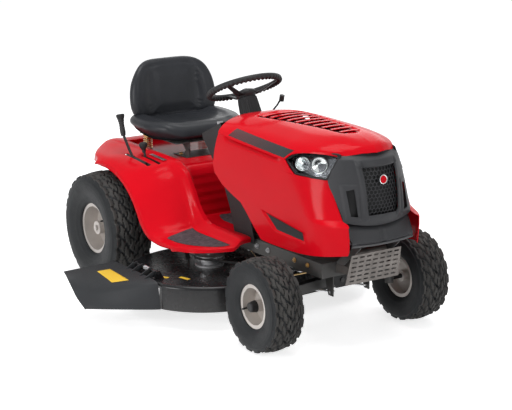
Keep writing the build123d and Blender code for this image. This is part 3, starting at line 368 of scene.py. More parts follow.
def fading_stripe(name, start, end, low, high):
    """Paint that fades from one colour to another along the machine."""
    made = finish(name, start, start, 0.22, 0.04, coat=0.6, grain_depth=0.0)
    nodes, links = made.node_tree.nodes, made.node_tree.links
    place_in = nodes.new("ShaderNodeSeparateXYZ")
    links.new(nodes["Texture Coordinate"].outputs["Object"], place_in.inputs["Vector"])
    along = nodes.new("ShaderNodeMapRange")
    along.inputs["From Min"].default_value = low
    along.inputs["From Max"].default_value = high
    links.new(place_in.outputs["X"], along.inputs["Value"])
    ramp = nodes.new("ShaderNodeValToRGB")
    ramp.color_ramp.elements[0].color = (*start, 1)
    ramp.color_ramp.elements[1].color = (*end, 1)
    links.new(along.outputs["Result"], ramp.inputs["Fac"])
    links.new(ramp.outputs["Color"], nodes["Principled BSDF"].inputs["Base Color"])
    return made


def gritty_finish(name, first, second):
    """Anti-slip mat with sharp coloured grit."""
    made = finish(name, first, second, 0.85, 0.1, grain_depth=0.0, patch=60.0)
    nodes, links = made.node_tree.nodes, made.node_tree.links
    grit = nodes.new("ShaderNodeTexVoronoi")
    grit.inputs["Scale"].default_value = 700.0
    links.new(nodes["Texture Coordinate"].outputs["Object"], grit.inputs["Vector"])
    bump = nodes.new("ShaderNodeBump")
    bump.inputs["Strength"].default_value = 0.9
    bump.inputs["Distance"].default_value = 0.001
    links.new(grit.outputs["Distance"], bump.inputs["Height"])
    links.new(bump.outputs["Normal"], nodes["Principled BSDF"].inputs["Normal"])
    return made


def clear_finish(name):
    """Clear moulded lens."""
    made = finish(name, (0.93, 0.95, 0.96), (0.97, 0.98, 0.98), 0.05, 0.03, grain_depth=0.0)
    shader = made.node_tree.nodes["Principled BSDF"]
    shader.inputs["Transmission Weight"].default_value = 1.0
    shader.inputs["IOR"].default_value = 1.1
    shader.inputs["Alpha"].default_value = 0.35
    return made


FINISHES = {}


def make_finishes(sizes):
    """Every finish of the machine, by name."""
    red = tuple(sizes.body_colour)
    deep_red = tuple(value * 0.82 for value in red)
    table = {
        "body_red": finish("body_red", red, deep_red, 0.17, 0.03, coat=0.03, coat_rough=0.03, grain=900,
                           grain_depth=0.00003,
                           patch=1.5, specular=0.05),
        "lamp_back": finish("lamp_back", (0.22, 0.23, 0.25), (0.07, 0.075, 0.08), 0.2, 0.05, metal=0.9),
        "frame_black": finish("frame_black", (0.006, 0.006, 0.0065), (0.01, 0.01, 0.0105), 0.38, 0.12,
                              grain_depth=0.0002, edge=(0.09, 0.088, 0.085)),
        "trim_charcoal": finish("trim_charcoal", (0.038, 0.039, 0.042), (0.05, 0.05, 0.054), 0.48, 0.08,
                                grain=1400, grain_depth=0.0003),
        "trim_light": finish("trim_light", (0.1, 0.1, 0.105), (0.13, 0.13, 0.135), 0.45, 0.06,
                             grain=1400, grain_depth=0.0002),
        "dash_grey": finish("dash_grey", (0.11, 0.116, 0.122), (0.135, 0.141, 0.148), 0.5, 0.08,
                            grain=1400, grain_depth=0.0003),
        "dash_black": finish("dash_black", (0.012, 0.012, 0.013), (0.018, 0.018, 0.019), 0.5, 0.08,
                             grain=1400, grain_depth=0.0003),
        "grip_black": finish("grip_black", (0.017, 0.017, 0.018), (0.027, 0.027, 0.028), 0.5, 0.1,
                             grain=1100, grain_depth=0.0004),
        "mat_grit": gritty_finish("mat_grit", (0.045, 0.035, 0.042), (0.11, 0.085, 0.095)),
        "tyre_rubber": finish("tyre_rubber", (0.010, 0.011, 0.0125), (0.016, 0.0175, 0.019), 0.55, 0.1,
                              grain=700, grain_depth=0.0004, patch=8),
        "tread_rubber": finish("tread_rubber", (0.038, 0.037, 0.036), (0.07, 0.067, 0.063), 0.72, 0.1,
                               grain=500, grain_depth=0.0006, patch=10),
        "rim_beige": finish("rim_beige", (0.52, 0.48, 0.45), (0.6, 0.56, 0.52), 0.36, 0.08, metal=0.25,
                            grain=900, grain_depth=0.0001, patch=5),
        "cap_black": finish("cap_black", (0.014, 0.014, 0.014), (0.022, 0.022, 0.022), 0.42, 0.1,
                            grain_depth=0.0002),
        "deck_black": finish("deck_black", (0.008, 0.008, 0.009), (0.013, 0.013, 0.014), 0.26, 0.1, coat=0.1,
                             coat_rough=0.15, grain=300, grain_depth=0.0002, edge=(0.05, 0.05, 0.05)),
        "chute_plastic": finish("chute_plastic", (0.022, 0.0235, 0.0255), (0.03, 0.032, 0.035), 0.5, 0.08,
                                grain=1100, grain_depth=0.0004),
        "blade_steel": brushed_finish("blade_steel", (0.3, 0.3, 0.31), (0.4, 0.4, 0.41), 0.35),
        "cast_metal": finish("cast_metal", (0.36, 0.36, 0.37), (0.46, 0.46, 0.47), 0.55, 0.1, metal=0.8,
                             grain=250, grain_depth=0.0008),
        "shroud_black": finish("shroud_black", (0.02, 0.02, 0.02), (0.03, 0.03, 0.03), 0.5),
        "shield_steel": finish("shield_steel", (0.12, 0.108, 0.1), (0.2, 0.182, 0.17), 0.45, 0.12, metal=0.7,
                               grain=300, grain_depth=0.0002, patch=20),
        "gold_zinc": finish("gold_zinc", (0.75, 0.5, 0.2), (0.6, 0.42, 0.26), 0.3, 0.1, metal=1.0, patch=30,
                            grain_depth=0.0001),
        "silver_zinc": finish("silver_zinc", (0.62, 0.62, 0.63), (0.5, 0.5, 0.52), 0.3, 0.1, metal=1.0,
                              patch=30,
                              grain_depth=0.0001),
        "belt_rubber": finish("belt_rubber", (0.02, 0.02, 0.02), (0.03, 0.03, 0.03), 0.8),
        "tank_plastic": finish("tank_plastic", (0.5, 0.5, 0.46), (0.56, 0.56, 0.52), 0.5),
        "battery_case": finish("battery_case", (0.015, 0.015, 0.017), (0.025, 0.025, 0.027), 0.45),
        "seat_vinyl": leather_finish("seat_vinyl", (0.018, 0.0195, 0.023), (0.026, 0.0275, 0.032), 0.36),
        "lens_clear": clear_finish("lens_clear"),
        "reflector": finish("reflector", (0.8, 0.82, 0.82), (0.62, 0.66, 0.66), 0.1, 0.05, metal=1.0,
                            grain_depth=0.0, patch=18),
        "label_yellow": finish("label_yellow", (0.85, 0.55, 0.05), (0.8, 0.5, 0.04), 0.45, 0.05,
                               grain_depth=0.0),
        "stripe": fading_stripe("stripe", (0.09, 0.004, 0.008), (0.012, 0.011, 0.013), 0.13, 0.5),
    }
    FINISHES.update(table)


# ---------------------------------------------------------------- settings
class MowerSizes(bpy.types.PropertyGroup):
    """Sizes and colours that a user may change."""

    body_colour: bpy.props.FloatVectorProperty(
        name="Body colour", description="Paint of the hood and fenders", subtype="COLOR",
        default=(0.72, 0.004, 0.013), min=0, max=1)
    tread_depth: bpy.props.FloatProperty(
        name="Tread depth", description="Height of the tyres' blocks", default=0.007, unit="LENGTH")
    seam_depth: bpy.props.FloatProperty(
        name="Seam depth", description="Depth of the seat's moulded seams", default=0.004, unit="LENGTH")
    lamp_power: bpy.props.FloatProperty(
        name="Lamp power", description="Power of the large soft lamp over the machine, in watts",
        default=95.0)


def settings():
    """The scene's sizes and colours."""
    return bpy.context.scene.mower_sizes


# The camera: its place in metres, its heading, rise and roll in degrees, and its lens in millimetres.
CAMERA_AT = (5.5239, -3.5404, 2.0841)
CAMERA_HEADING, CAMERA_RISE, CAMERA_ROLL = 146.374, -14.056, -0.439
CAMERA_LENS, CAMERA_SENSOR, CAMERA_CLIP = 111.17, 36, 60
# The floor's half width and how far it lies under the wheels, in metres.
FLOOR_HALF, FLOOR_DROP = 30, 0.0005
# The surroundings' soft light, and how much the floor glows towards the camera.
SKY_TINT, SKY_STRENGTH, FLOOR_GLOW = (0.95, 0.97, 1, 1), 0.32, 0.72


def make_camera():
    """The camera, in front of the machine's right side."""
    lens = bpy.data.cameras.new("camera")
    lens.sensor_width = CAMERA_SENSOR
    lens.lens = CAMERA_LENS
    lens.clip_end = CAMERA_CLIP
    camera = bpy.data.objects.new("camera", lens)
    bpy.context.scene.collection.objects.link(camera)
    turn, rise, roll = (math.radians(angle) for angle in (CAMERA_HEADING, CAMERA_RISE, CAMERA_ROLL))
    forward = Vector((math.cos(rise) * math.cos(turn), math.cos(rise) * math.sin(turn), math.sin(rise)))
    right = forward.cross(Vector((0, 0, 1))).normalized()
    upward = right.cross(forward)
    rolled = right * math.cos(roll) + upward * math.sin(roll)
    upright = rolled.cross(forward)
    camera.matrix_world = Matrix.Translation(Vector(CAMERA_AT)) @ Matrix(
        (rolled, upright, -forward)).transposed().to_4x4()
    bpy.context.scene.camera = camera


def make_lamp(name, at, toward, size, power):
    """A soft area lamp."""
    light = bpy.data.lights.new(name, "AREA")
    light.shape = "RECTANGLE"
    light.size, light.size_y = size
    light.energy = power
    lamp = bpy.data.objects.new(name, light)
    lamp.location = at
    lamp.rotation_euler = (Vector(toward) - Vector(at)).to_track_quat("-Z", "Y").to_euler()
    bpy.context.scene.collection.objects.link(lamp)


def white_behind(tree):
    """A socket that is 1 for the rays which see the background."""
    path = tree.nodes.new("ShaderNodeLightPath")
    first = tree.nodes.new("ShaderNodeMath")
    first.operation = "MAXIMUM"
    tree.links.new(path.outputs["Is Camera Ray"], first.inputs[0])
    tree.links.new(path.outputs["Is Glossy Ray"], first.inputs[1])
    second = tree.nodes.new("ShaderNodeMath")
    second.operation = "MAXIMUM"
    tree.links.new(first.outputs[0], second.inputs[0])
    tree.links.new(path.outputs["Is Transmission Ray"], second.inputs[1])
    return second.outputs[0]


class MOWER_OT_stage(bpy.types.Operator):
    """Floor, soft lamps, white surroundings and the camera"""

    bl_idname = "mower.stage"
    bl_label = "Stage"

    def execute(self, context):
        scene = context.scene
        scene.view_settings.view_transform = "Standard"
        make_camera()
        world = bpy.data.worlds.new("studio")
        scene.world = world
        world.use_nodes = True
        tree = world.node_tree
        tree.nodes.clear()
        soft = tree.nodes.new("ShaderNodeBackground")
        soft.inputs["Color"].default_value = SKY_TINT
        soft.inputs["Strength"].default_value = SKY_STRENGTH
        white = tree.nodes.new("ShaderNodeBackground")
        white.inputs["Strength"].default_value = 1.0
        mixed = tree.nodes.new("ShaderNodeMixShader")
        tree.links.new(white_behind(tree), mixed.inputs["Fac"])
        tree.links.new(soft.outputs[0], mixed.inputs[1])
        tree.links.new(white.outputs[0], mixed.inputs[2])
        end = tree.nodes.new("ShaderNodeOutputWorld")
        tree.links.new(mixed.outputs[0], end.inputs["Surface"])

        corners = [(a * FLOOR_HALF, b * FLOOR_HALF, 0) for a, b in ((-1, -1), (1, -1), (1, 1), (-1, 1))]
        floor = new_object("floor", corners, [(0, 1, 2, 3)])
        floor.location.z = -FLOOR_DROP
        paint = bpy.data.materials.new("floor_pale")
        paint.use_nodes = True
        tree = paint.node_tree
        shader = tree.nodes["Principled BSDF"]
        shader.inputs["Base Color"].default_value = (0.9, 0.9, 0.9, 1)
        shader.inputs["Roughness"].default_value = 0.9
        shader.inputs["Specular IOR Level"].default_value = 0.1
        glow = tree.nodes.new("ShaderNodeMath")
        glow.operation = "MULTIPLY"
        glow.inputs[1].default_value = FLOOR_GLOW
        tree.links.new(white_behind(tree), glow.inputs[0])
        shader.inputs["Emission Color"].default_value = (1, 1, 1, 1)
        tree.links.new(glow.outputs[0], shader.inputs["Emission Strength"])
        floor.data.materials.append(paint)

        power = settings().lamp_power
        make_lamp("over", (0.3, -0.4, 4.2), (0, 0, 0.4), (2.4, 2.4), power)
        make_lamp("right_side", (0.7, -5.2, 1.9), (0, 0, 0.5), (1.8, 1.4), power * 1.15)
        make_lamp("front", (5.5, 1.2, 2.4), (0, 0, 0.5), (1.8, 1.8), power * 0.5)
        make_lamp("back_left", (-3.5, 3.5, 3.0), (0, 0, 0.5), (3, 3), power * 0.4)
        return {"FINISHED"}


# The finish of each CAD node that stays as it is.
NODE_FINISH = {
    "frame": "frame_black", "axle_hanger": "frame_black", "front_axle": "frame_black",
    "knuckle_right": "frame_black", "knuckle_left": "frame_black", "steering_box": "frame_black",
    "seat_bracket": "frame_black", "seat_pan": "frame_black", "lift_lever": "frame_black",
    "brake_pedal": "frame_black", "fender_body": "body_red", "hood_shell": "body_red",
    "tread_mats": "mat_grit", "dash_panel": "dash_black", "column_cover": "trim_charcoal",
    "grille": "trim_charcoal", "bumper": "trim_charcoal", "engine_block": "cast_metal",
    "transaxle": "cast_metal", "spindle_housings": "cast_metal", "blower_housing": "shroud_black",
    "muffler": "shield_steel", "heat_shield": "shield_steel", "fuel_tank": "tank_plastic",
    "battery": "battery_case", "drive_belt": "belt_rubber", "deck_belt": "belt_rubber",
    "headlights": "lens_clear", "steering_wheel": "grip_black", "steering_shaft": "silver_zinc",
    "steering_pinion": "silver_zinc", "sector_gear": "silver_zinc", "drag_link": "gold_zinc",
    "tie_rod": "gold_zinc", "front_rim_right": "rim_beige", "front_rim_left": "rim_beige",
    "rear_rim_right": "rim_beige", "rear_rim_left": "rim_beige", "front_tyre_right": "tyre_rubber",
    "front_tyre_left": "tyre_rubber", "rear_tyre_right": "tyre_rubber", "rear_tyre_left": "tyre_rubber",
    "front_cap_right": "cap_black", "front_cap_left": "cap_black", "fuel_cap": "cap_black",
    "crank_pulley": "silver_zinc", "deck_shell": "deck_black", "discharge_chute": "chute_plastic",
    "blade_right": "blade_steel", "blade_left": "blade_steel", "spindle_right": "silver_zinc",
    "spindle_left": "silver_zinc", "lift_grip": "grip_black", "lift_links": "silver_zinc",
    "front_lift_rod": "silver_zinc", "seat_springs": "gold_zinc", "seat": "seat_vinyl",
    "shift_lever": "grip_black", "pto_lever": "grip_black", "ignition_key": "silver_zinc",
}
# Nodes whose edges are rounded a little, with the radius in metres.
EASED = {
    "frame": 0.0012, "axle_hanger": 0.001, "front_axle": 0.002, "steering_box": 0.002, "transaxle": 0.004,
    "engine_block": 0.003, "blower_housing": 0.004, "battery": 0.003, "fuel_tank": 0.008,
    "deck_shell": 0.0012,
    "dash_panel": 0.001, "column_cover": 0.002, "seat_bracket": 0.0008, "heat_shield": 0.0006,
    "muffler": 0.002, "brake_pedal": 0.002, "blade_right": 0.0008, "blade_left": 0.0008,
}


class MOWER_OT_finishes(bpy.types.Operator):
    """Finishes of every piece, and rounded edges on the frame's own nodes"""

    bl_idname = "mower.finishes"
    bl_label = "Finishes"

    def execute(self, context):
        make_finishes(settings())
        for name, node in frame["nodes"].items():
            node.data.materials.clear()
            node.data.materials.append(FINISHES[NODE_FINISH[name]])
            if name in EASED:
                add_modifier(node, "BEVEL", width=EASED[name], segments=2, limit_method="ANGLE",
                             angle_limit=math.radians(40), use_clamp_overlap=True)
            smooth_by_angle(node)
        cowl = frame["nodes"]["dash_panel"]
        cowl.data.materials.append(FINISHES["dash_grey"])
        for face in cowl.data.polygons:
            seen = face.normal.x < -0.3 or face.normal.z > 0.3
            face.material_index = 1 if seen and face.center.z > 0.64 else 0
        return {"FINISHED"}


def smooth_by_angle(node, degrees=32):
    """Smooth shading with crisp edges, which leaves the node's points alone."""
    node.data.shade_smooth()
    node.data.set_sharp_from_angle(angle=math.radians(degrees))


# ---------------------------------------------------------------- hood
def eased(value, low, high):
    """0 below low, 1 above high and a smooth step between."""
    part = min(max((value - low) / (high - low), 0.0), 1.0)
    return part * part * (3 - 2 * part)


def curve(value, table):
    """Reads a table of (position, value) pairs along a smooth curve through them."""
    if value <= table[0][0]:
        return table[0][1]
    if value >= table[-1][0]:
        return table[-1][1]
    index = max(i for i, (at, _) in enumerate(table) if at <= value)
    (x1, y1), (x2, y2) = table[index], table[index + 1]
    x0, y0 = table[index - 1] if index else (2 * x1 - x2, 2 * y1 - y2)
    x3, y3 = table[index + 2] if index + 2 < len(table) else (2 * x2 - x1, 2 * y2 - y1)
    slope1, slope2 = (y2 - y0) / (x2 - x0), (y3 - y1) / (x3 - x1)
    wide = x2 - x1
    part = (value - x1) / wide
    square, cube = part * part, part ** 3
    return (
        (2 * cube - 3 * square + 1) * y1 + (cube - 2 * square + part) * wide * slope1
        + (3 * square - 2 * cube) * y2 + (cube - square) * wide * slope2
    )


# Wall of the hood and of the fenders, in metres.
SHEET = 0.003
# Height of the hood on its centre line, and how far the shoulder seam lies below it.
CROWN = [(650, 838), (700, 847), (780, 857), (900, 861), (1100, 861), (1250, 858), (1330, 852), (1400, 836),
         (1458, 812)]
SHOULDER_FALL = [(650, 58), (743, 77), (800, 90), (1000, 103), (1132, 110), (1200, 108), (1500, 107)]
# Cross-section from the centre line out to the seam: share of the width, share of the fall.
SECTION = [(0, 0), (0.3, 0.03), (0.5, 0.12), (0.7, 0.28), (0.83, 0.42), (0.92, 0.6), (0.975, 0.8), (1.0, 1.0)]
TOP_WIDTH = [(650, 236), (800, 240), (1150, 238), (1230, 228), (1320, 203), (1398, 164), (1458, 128)]
TOP_START = [(0, 650), (0.48, 655), (0.7, 670), (0.83, 686), (0.95, 692), (1.0, 690)]
TOP_END = [(0, 1458), (0.3, 1450), (0.55, 1430), (0.79, 1398), (0.88, 1320), (0.96, 1215), (1.0, 1175)]
# Flank rows from the seam to the lower edge: row, rear end (x, z) and front end (x, z).
FLANK_ROWS = [
    (0.0, 690, 778, 1175, 752), (0.08, 680, 750, 1210, 722), (0.14, 668, 715, 1240, 703),
    (0.16, 665, 708, 1383, 701), (0.35, 652, 640, 1425, 620), (0.5, 665, 604, 1461, 550),
    (0.54, 690, 588, 1490, 542), (0.58, 720, 565, 1509, 536), (0.66, 790, 538, 1512, 505),
    (0.74, 860, 515, 1513, 485), (0.84, 905, 475, 1511, 455), (0.92, 955, 422, 1509, 436),
    (1.0, 996, 387, 1505, 423),
]
LOWER_EDGE = [(996, 387), (1047, 384), (1244, 388), (1386, 404), (1505, 423)]
FLANK_WIDTH = [(380, 231), (450, 236), (536, 240), (640, 241), (701, 240), (740, 239), (780, 236)]
NOSE_START = [(423, 1330), (500, 1325), (548, 1315), (620, 1255), (701, 1190), (752, 1120)]
NOSE_END = [(423, 1507), (500, 1512), (534, 1510), (541, 1485), (550, 1461), (620, 1425), (701, 1383),
            (797, 1398)]
NOSE_WIDTH = [(423, 170), (500, 173), (536, 174), (550, 165), (620, 172), (701, 182), (797, 131)]

# The louvres: how many, where the rearmost lies and how far apart they are.
LOUVRES, FIRST_LOUVRE, LOUVRE_PITCH = 10, 806, 51
# Hollows in the flank, in millimetres: how deep the long scoop and the sunk triangle are.
SCOOP_DEPTH, TRIANGLE_DEPTH = 14, 6


def flank_half(x, z):
    """Half width of the hood's side at a point."""
    wide = curve(z, FLANK_WIDTH)
    start, end = between(z, NOSE_START), between(z, NOSE_END)
    part = max((x - start) / (end - start), 0.0)
    return wide - (wide - between(z, NOSE_WIDTH)) * min(part, 1.1) ** 2.2


def louvre_half(x):
    """Half width of the sunk louvre panel."""
    return between(x, [(768, 0), (782, 104), (1290, 42), (1318, 0)])


def hood_top(x, share):
    """A point on the hood's top, at a share of its width."""
    y = share * curve(x, TOP_WIDTH)
    z = curve(x, CROWN) - curve(x, SHOULDER_FALL) * curve(share, SECTION)
    inside = louvre_half(x) + 10 - y
    z -= 7 * eased(inside, 0, 9) * eased(x, 764, 778) * (1 - eased(x, 1300, 1326))
    return y, z


def hood_rows():
    """Rows of half-hood points (x, y, z) in millimetres, each from the rear to the front edge."""
    rows = []
    steps = [k / 76 for k in range(77)]
    for k in range(57):
        share = 1 - (1 - k / 56) ** 1.15
        start, end = between(share, TOP_START), between(share, TOP_END)
        row = []
        for part in steps:
            x = start + (end - start) * part
            y, z = hood_top(x, share)
            lip = eased(part, 0.975, 1.0) * (1 - eased(share, 0.8, 1.0))
            row.append((x, y, z - 12 * lip))
        rows.append(row)
    count = 104
    for k in range(1, count + 1):
        level = 0.003 if k == 1 else k / count
        row_at = [between(level, [(r[0], r[i]) for r in FLANK_ROWS]) for i in (1, 2, 3, 4)]
        row = []
        for part in steps:
            x = row_at[0] + (row_at[2] - row_at[0]) * part
            z = row_at[1] + (row_at[3] - row_at[1]) * part
            if level > 0.84:
                straight = 387 + (x - 996) * 36 / 509
                z += (curve(x, LOWER_EDGE) - straight) * ((level - 0.84) / 0.16) ** 1.5
            y = flank_half(x, z)
            scoop = eased(x, 728, 772) * (1 - eased(x, 1105, 1150))
            y -= SCOOP_DEPTH * scoop * (1 - eased(level, 0.0, 0.078))
            upper = 516 - (x - 1011) * 0.118
            lower = 516 - (x - 1011) * 0.713 if x < 1105 else 449 - (x - 1105) * 0.034
            sunk = min(upper - z, z - lower, (1306 - x) * 0.8)
            y -= TRIANGLE_DEPTH * eased(sunk, -2, 6)
            row.append((x, y, z))
        rows.append(row)
    return rows


def mirrored_sheet(name, rows, thick):
    """A sheet of half rows and their mirror image, with a thickness inwards."""
    whole = [[place(x, y, z) for x, y, z in row] for row in reversed(rows)]
    whole += [[place(x, -y, z) for x, y, z in row] for row in rows[1:]]
    made = grid_object(name, whole)
    flip_if_inside_out(made)
    middle = made.data.polygons[len(made.data.polygons) // 2]
    if middle.normal.z < 0:
        made.data.flip_normals()
    add_modifier(made, "SOLIDIFY", thickness=thick, offset=-1)
    return apply_modifiers(made)


def prism(name, outline, low, high, axis):
    """A cutting block over an outline in millimetres, along x, y or z."""
    ends = []
    for depth in (low, high):
        for a, b in outline:
            point = {"x": (depth, a, b), "y": (a, depth, b), "z": (a, b, depth)}[axis]
            ends.append(place(*point))
    count = len(outline)
    faces = [tuple(range(count)), tuple(range(2 * count - 1, count - 1, -1))]
    faces += [(i, i + count, (i + 1) % count + count, (i + 1) % count) for i in range(count)]
    return flip_if_inside_out(new_object(name, ends, faces, smooth=False))


def draped(name, outline, side, offset, finish_name, target, steps=26):
    """A thin patch laid on the side of a target, from four (x, z) corners in millimetres."""
    rows = []
    for row in range(9):
        down = row / 8
        line = []
        for column in range(steps + 1):
            along = column / steps
            top = [outline[0][i] + (outline[1][i] - outline[0][i]) * along for i in (0, 1)]
            low = [outline[3][i] + (outline[2][i] - outline[3][i]) * along for i in (0, 1)]
            line.append(place(top[0] + (low[0] - top[0]) * down, side * 330,
                              top[1] + (low[1] - top[1]) * down))
        rows.append(line)
    made = grid_object(name, rows)
    add_modifier(made, "SHRINKWRAP", target=target, wrap_method="PROJECT", use_project_y=True,
                 use_negative_direction=True, use_positive_direction=True, project_limit=0.3, offset=offset,
                 wrap_mode="ABOVE_SURFACE")
    apply_modifiers(made)
    made.data.materials.clear()
    made.data.materials.append(FINISHES[finish_name])
    return made


class MOWER_OT_hood(bpy.types.Operator):
    """Red hood with its sunk louvres, side scoops and stripes"""

    bl_idname = "mower.hood"
    bl_label = "Hood"

    def execute(self, context):
        shell = mirrored_sheet("hood", hood_rows(), SHEET)
        opening = [(784, -98), (784, 98), (1284, 37), (1284, -37)]
        cut(shell, prism("louvre_opening", opening, 700, 900, "z"))
        crisp(shell, 38)
        finish_piece(shell, "hood", "hood", FINISHES["body_red"], ("hood_shell",))
        slats = []
        for index in range(LOUVRES):
            x = FIRST_LOUVRE + LOUVRE_PITCH * index
            half = between(x, [(784, 102), (1284, 41)])
            rows = []
            for step in range(19):
                y = half * (step / 9 - 1)
                crown = hood_top(x, abs(y) / curve(x, TOP_WIDTH))[1] + 3
                section = [(-22, -8), (-20, -3), (-6, 2), (10, 5), (18, 4), (19, 1), (10, 1), (-6, -2)]
                rows.append([place(x + a, y, crown + b) for a, b in section])
            slats.append(crisp(flip_if_inside_out(grid_object(f"slat_{index}", rows, closed_columns=True)),
                               40))
        slat_group = join("hood_louvres", slats)
        finish_piece(slat_group, "hood_louvres", "hood", FINISHES["body_red"])
        for side, word in ((-1, "right"), (1, "left")):
            stripe = draped(f"hood_stripe_{word}", [(800, 812), (1212, 791), (1168, 757), (770, 780)], side,
                            0.0006, "stripe", shell)
            finish_piece(stripe, f"hood_stripe_{word}", "hood")
            patch = draped(f"hood_patch_{word}", [(1040, 508), (1290, 479), (1298, 446), (1112, 453)], side,
                           0.0006, "dash_black", shell)
            finish_piece(patch, f"hood_patch_{word}", "hood")
        return {"FINISHED"}


# ---------------------------------------------------------------- nose
NOSE_CENTRE = [(505, 1478), (520, 1486), (545, 1499), (575, 1503), (640, 1502), (701, 1493), (752, 1477),
               (790, 1458), (812, 1446)]
NOSE_EDGE = [(505, 168), (520, 168), (550, 163), (620, 171), (701, 180), (750, 156), (797, 130), (812, 122)]
NOSE_SWEEP = [(505, 24), (550, 40), (620, 76), (701, 108), (752, 82), (797, 55), (812, 50)]


def nose_point(y, z, lift=0.0):
    """A point on the grille's face, in millimetres."""
    share = abs(y) / curve(z, NOSE_EDGE)
    x = curve(z, NOSE_CENTRE) - curve(z, NOSE_SWEEP) * share ** 2.2
    return x + lift


def nose_relief(y, z):
    """How far the grille's face stands out or sinks at a point."""
    side = abs(y)
    half = between(z, [(560, 66), (578, 72), (752, 78)])
    lift = 0.0
    frame = min(side - half, 16 - (side - half))
    lift += 6 * eased(frame, -2, 5) * eased(z, 540, 560) * (1 - eased(z, 760, 776))
    rail = min(z - 752, 778 - z) if side < half + 16 else -9
    lift += 6 * eased(rail, -2, 5)
    vent = min(side - 100, 152 - side, z - 552, 684 - z)
    lift += 4 * eased(vent, -3, 4)
    lift -= 17 * eased(z, 774, 792)
    return lift


def patch_rows(low, high, columns, count):
    """Rows over half of the grille, from its centre line to its edge and between two heights."""
    rows = []
    for row in range(count + 1):
        share = row / count
        line = []
        for column in range(columns + 1):
            across = column / columns
            z_low, z_high = low(across), high(across)
            z = z_low + (z_high - z_low) * share
            y = curve(z, NOSE_EDGE) * across
            line.append((nose_point(y, z, nose_relief(y, z)), y, z))
        rows.append(line)
    return rows


def hex_mesh(name, half_low, half_high, low, high, pitch, body_finish):
    """A plate of hexagonal holes that follows the grille's face."""
    points, faces = [], []
    row_gap = pitch * math.sqrt(3) / 2
    count_rows = int((high - low) / row_gap) + 1
    for row in range(count_rows + 1):
        z = low + row * row_gap
        for column in range(-7, 8):
            y = (column + (0.5 if row % 2 else 0)) * pitch
            if abs(y) > between(z, [(low, half_low), (high, half_high)]) + pitch * 0.4:
                continue
            first = len(points)
            for radius in (pitch / math.sqrt(3) * 1.004, pitch * 0.49):
                for corner in range(6):
                    angle = math.radians(60 * corner + 30)
                    a, b = y + radius * math.cos(angle), z + radius * math.sin(angle)
                    points.append(place(nose_point(a, b, -4), a, b))
            for corner in range(6):
                beside = (corner + 1) % 6
                faces.append((first + corner, first + beside, first + 6 + beside, first + 6 + corner))
    made = new_object(name, points, faces, smooth=False)
    work = bmesh.new()
    work.from_mesh(made.data)
    bmesh.ops.remove_doubles(work, verts=work.verts, dist=0.0006)
    work.to_mesh(made.data)
    work.free()
    add_modifier(made, "SOLIDIFY", thickness=0.0028, offset=-1)
    apply_modifiers(made)
    made.data.materials.append(FINISHES[body_finish])
    return crisp(made, 40)


def disc_on(name, centre, facing, profile, steps=40):
    """A turned piece whose axis points along facing."""
    made = turned(name, profile, axis="z", steps=steps)
    turn = Vector(facing).to_track_quat("Z", "Y").to_matrix().to_4x4()
    made.data.transform(Matrix.Translation(Vector(centre)) @ turn)
    return crisp(made, 40)


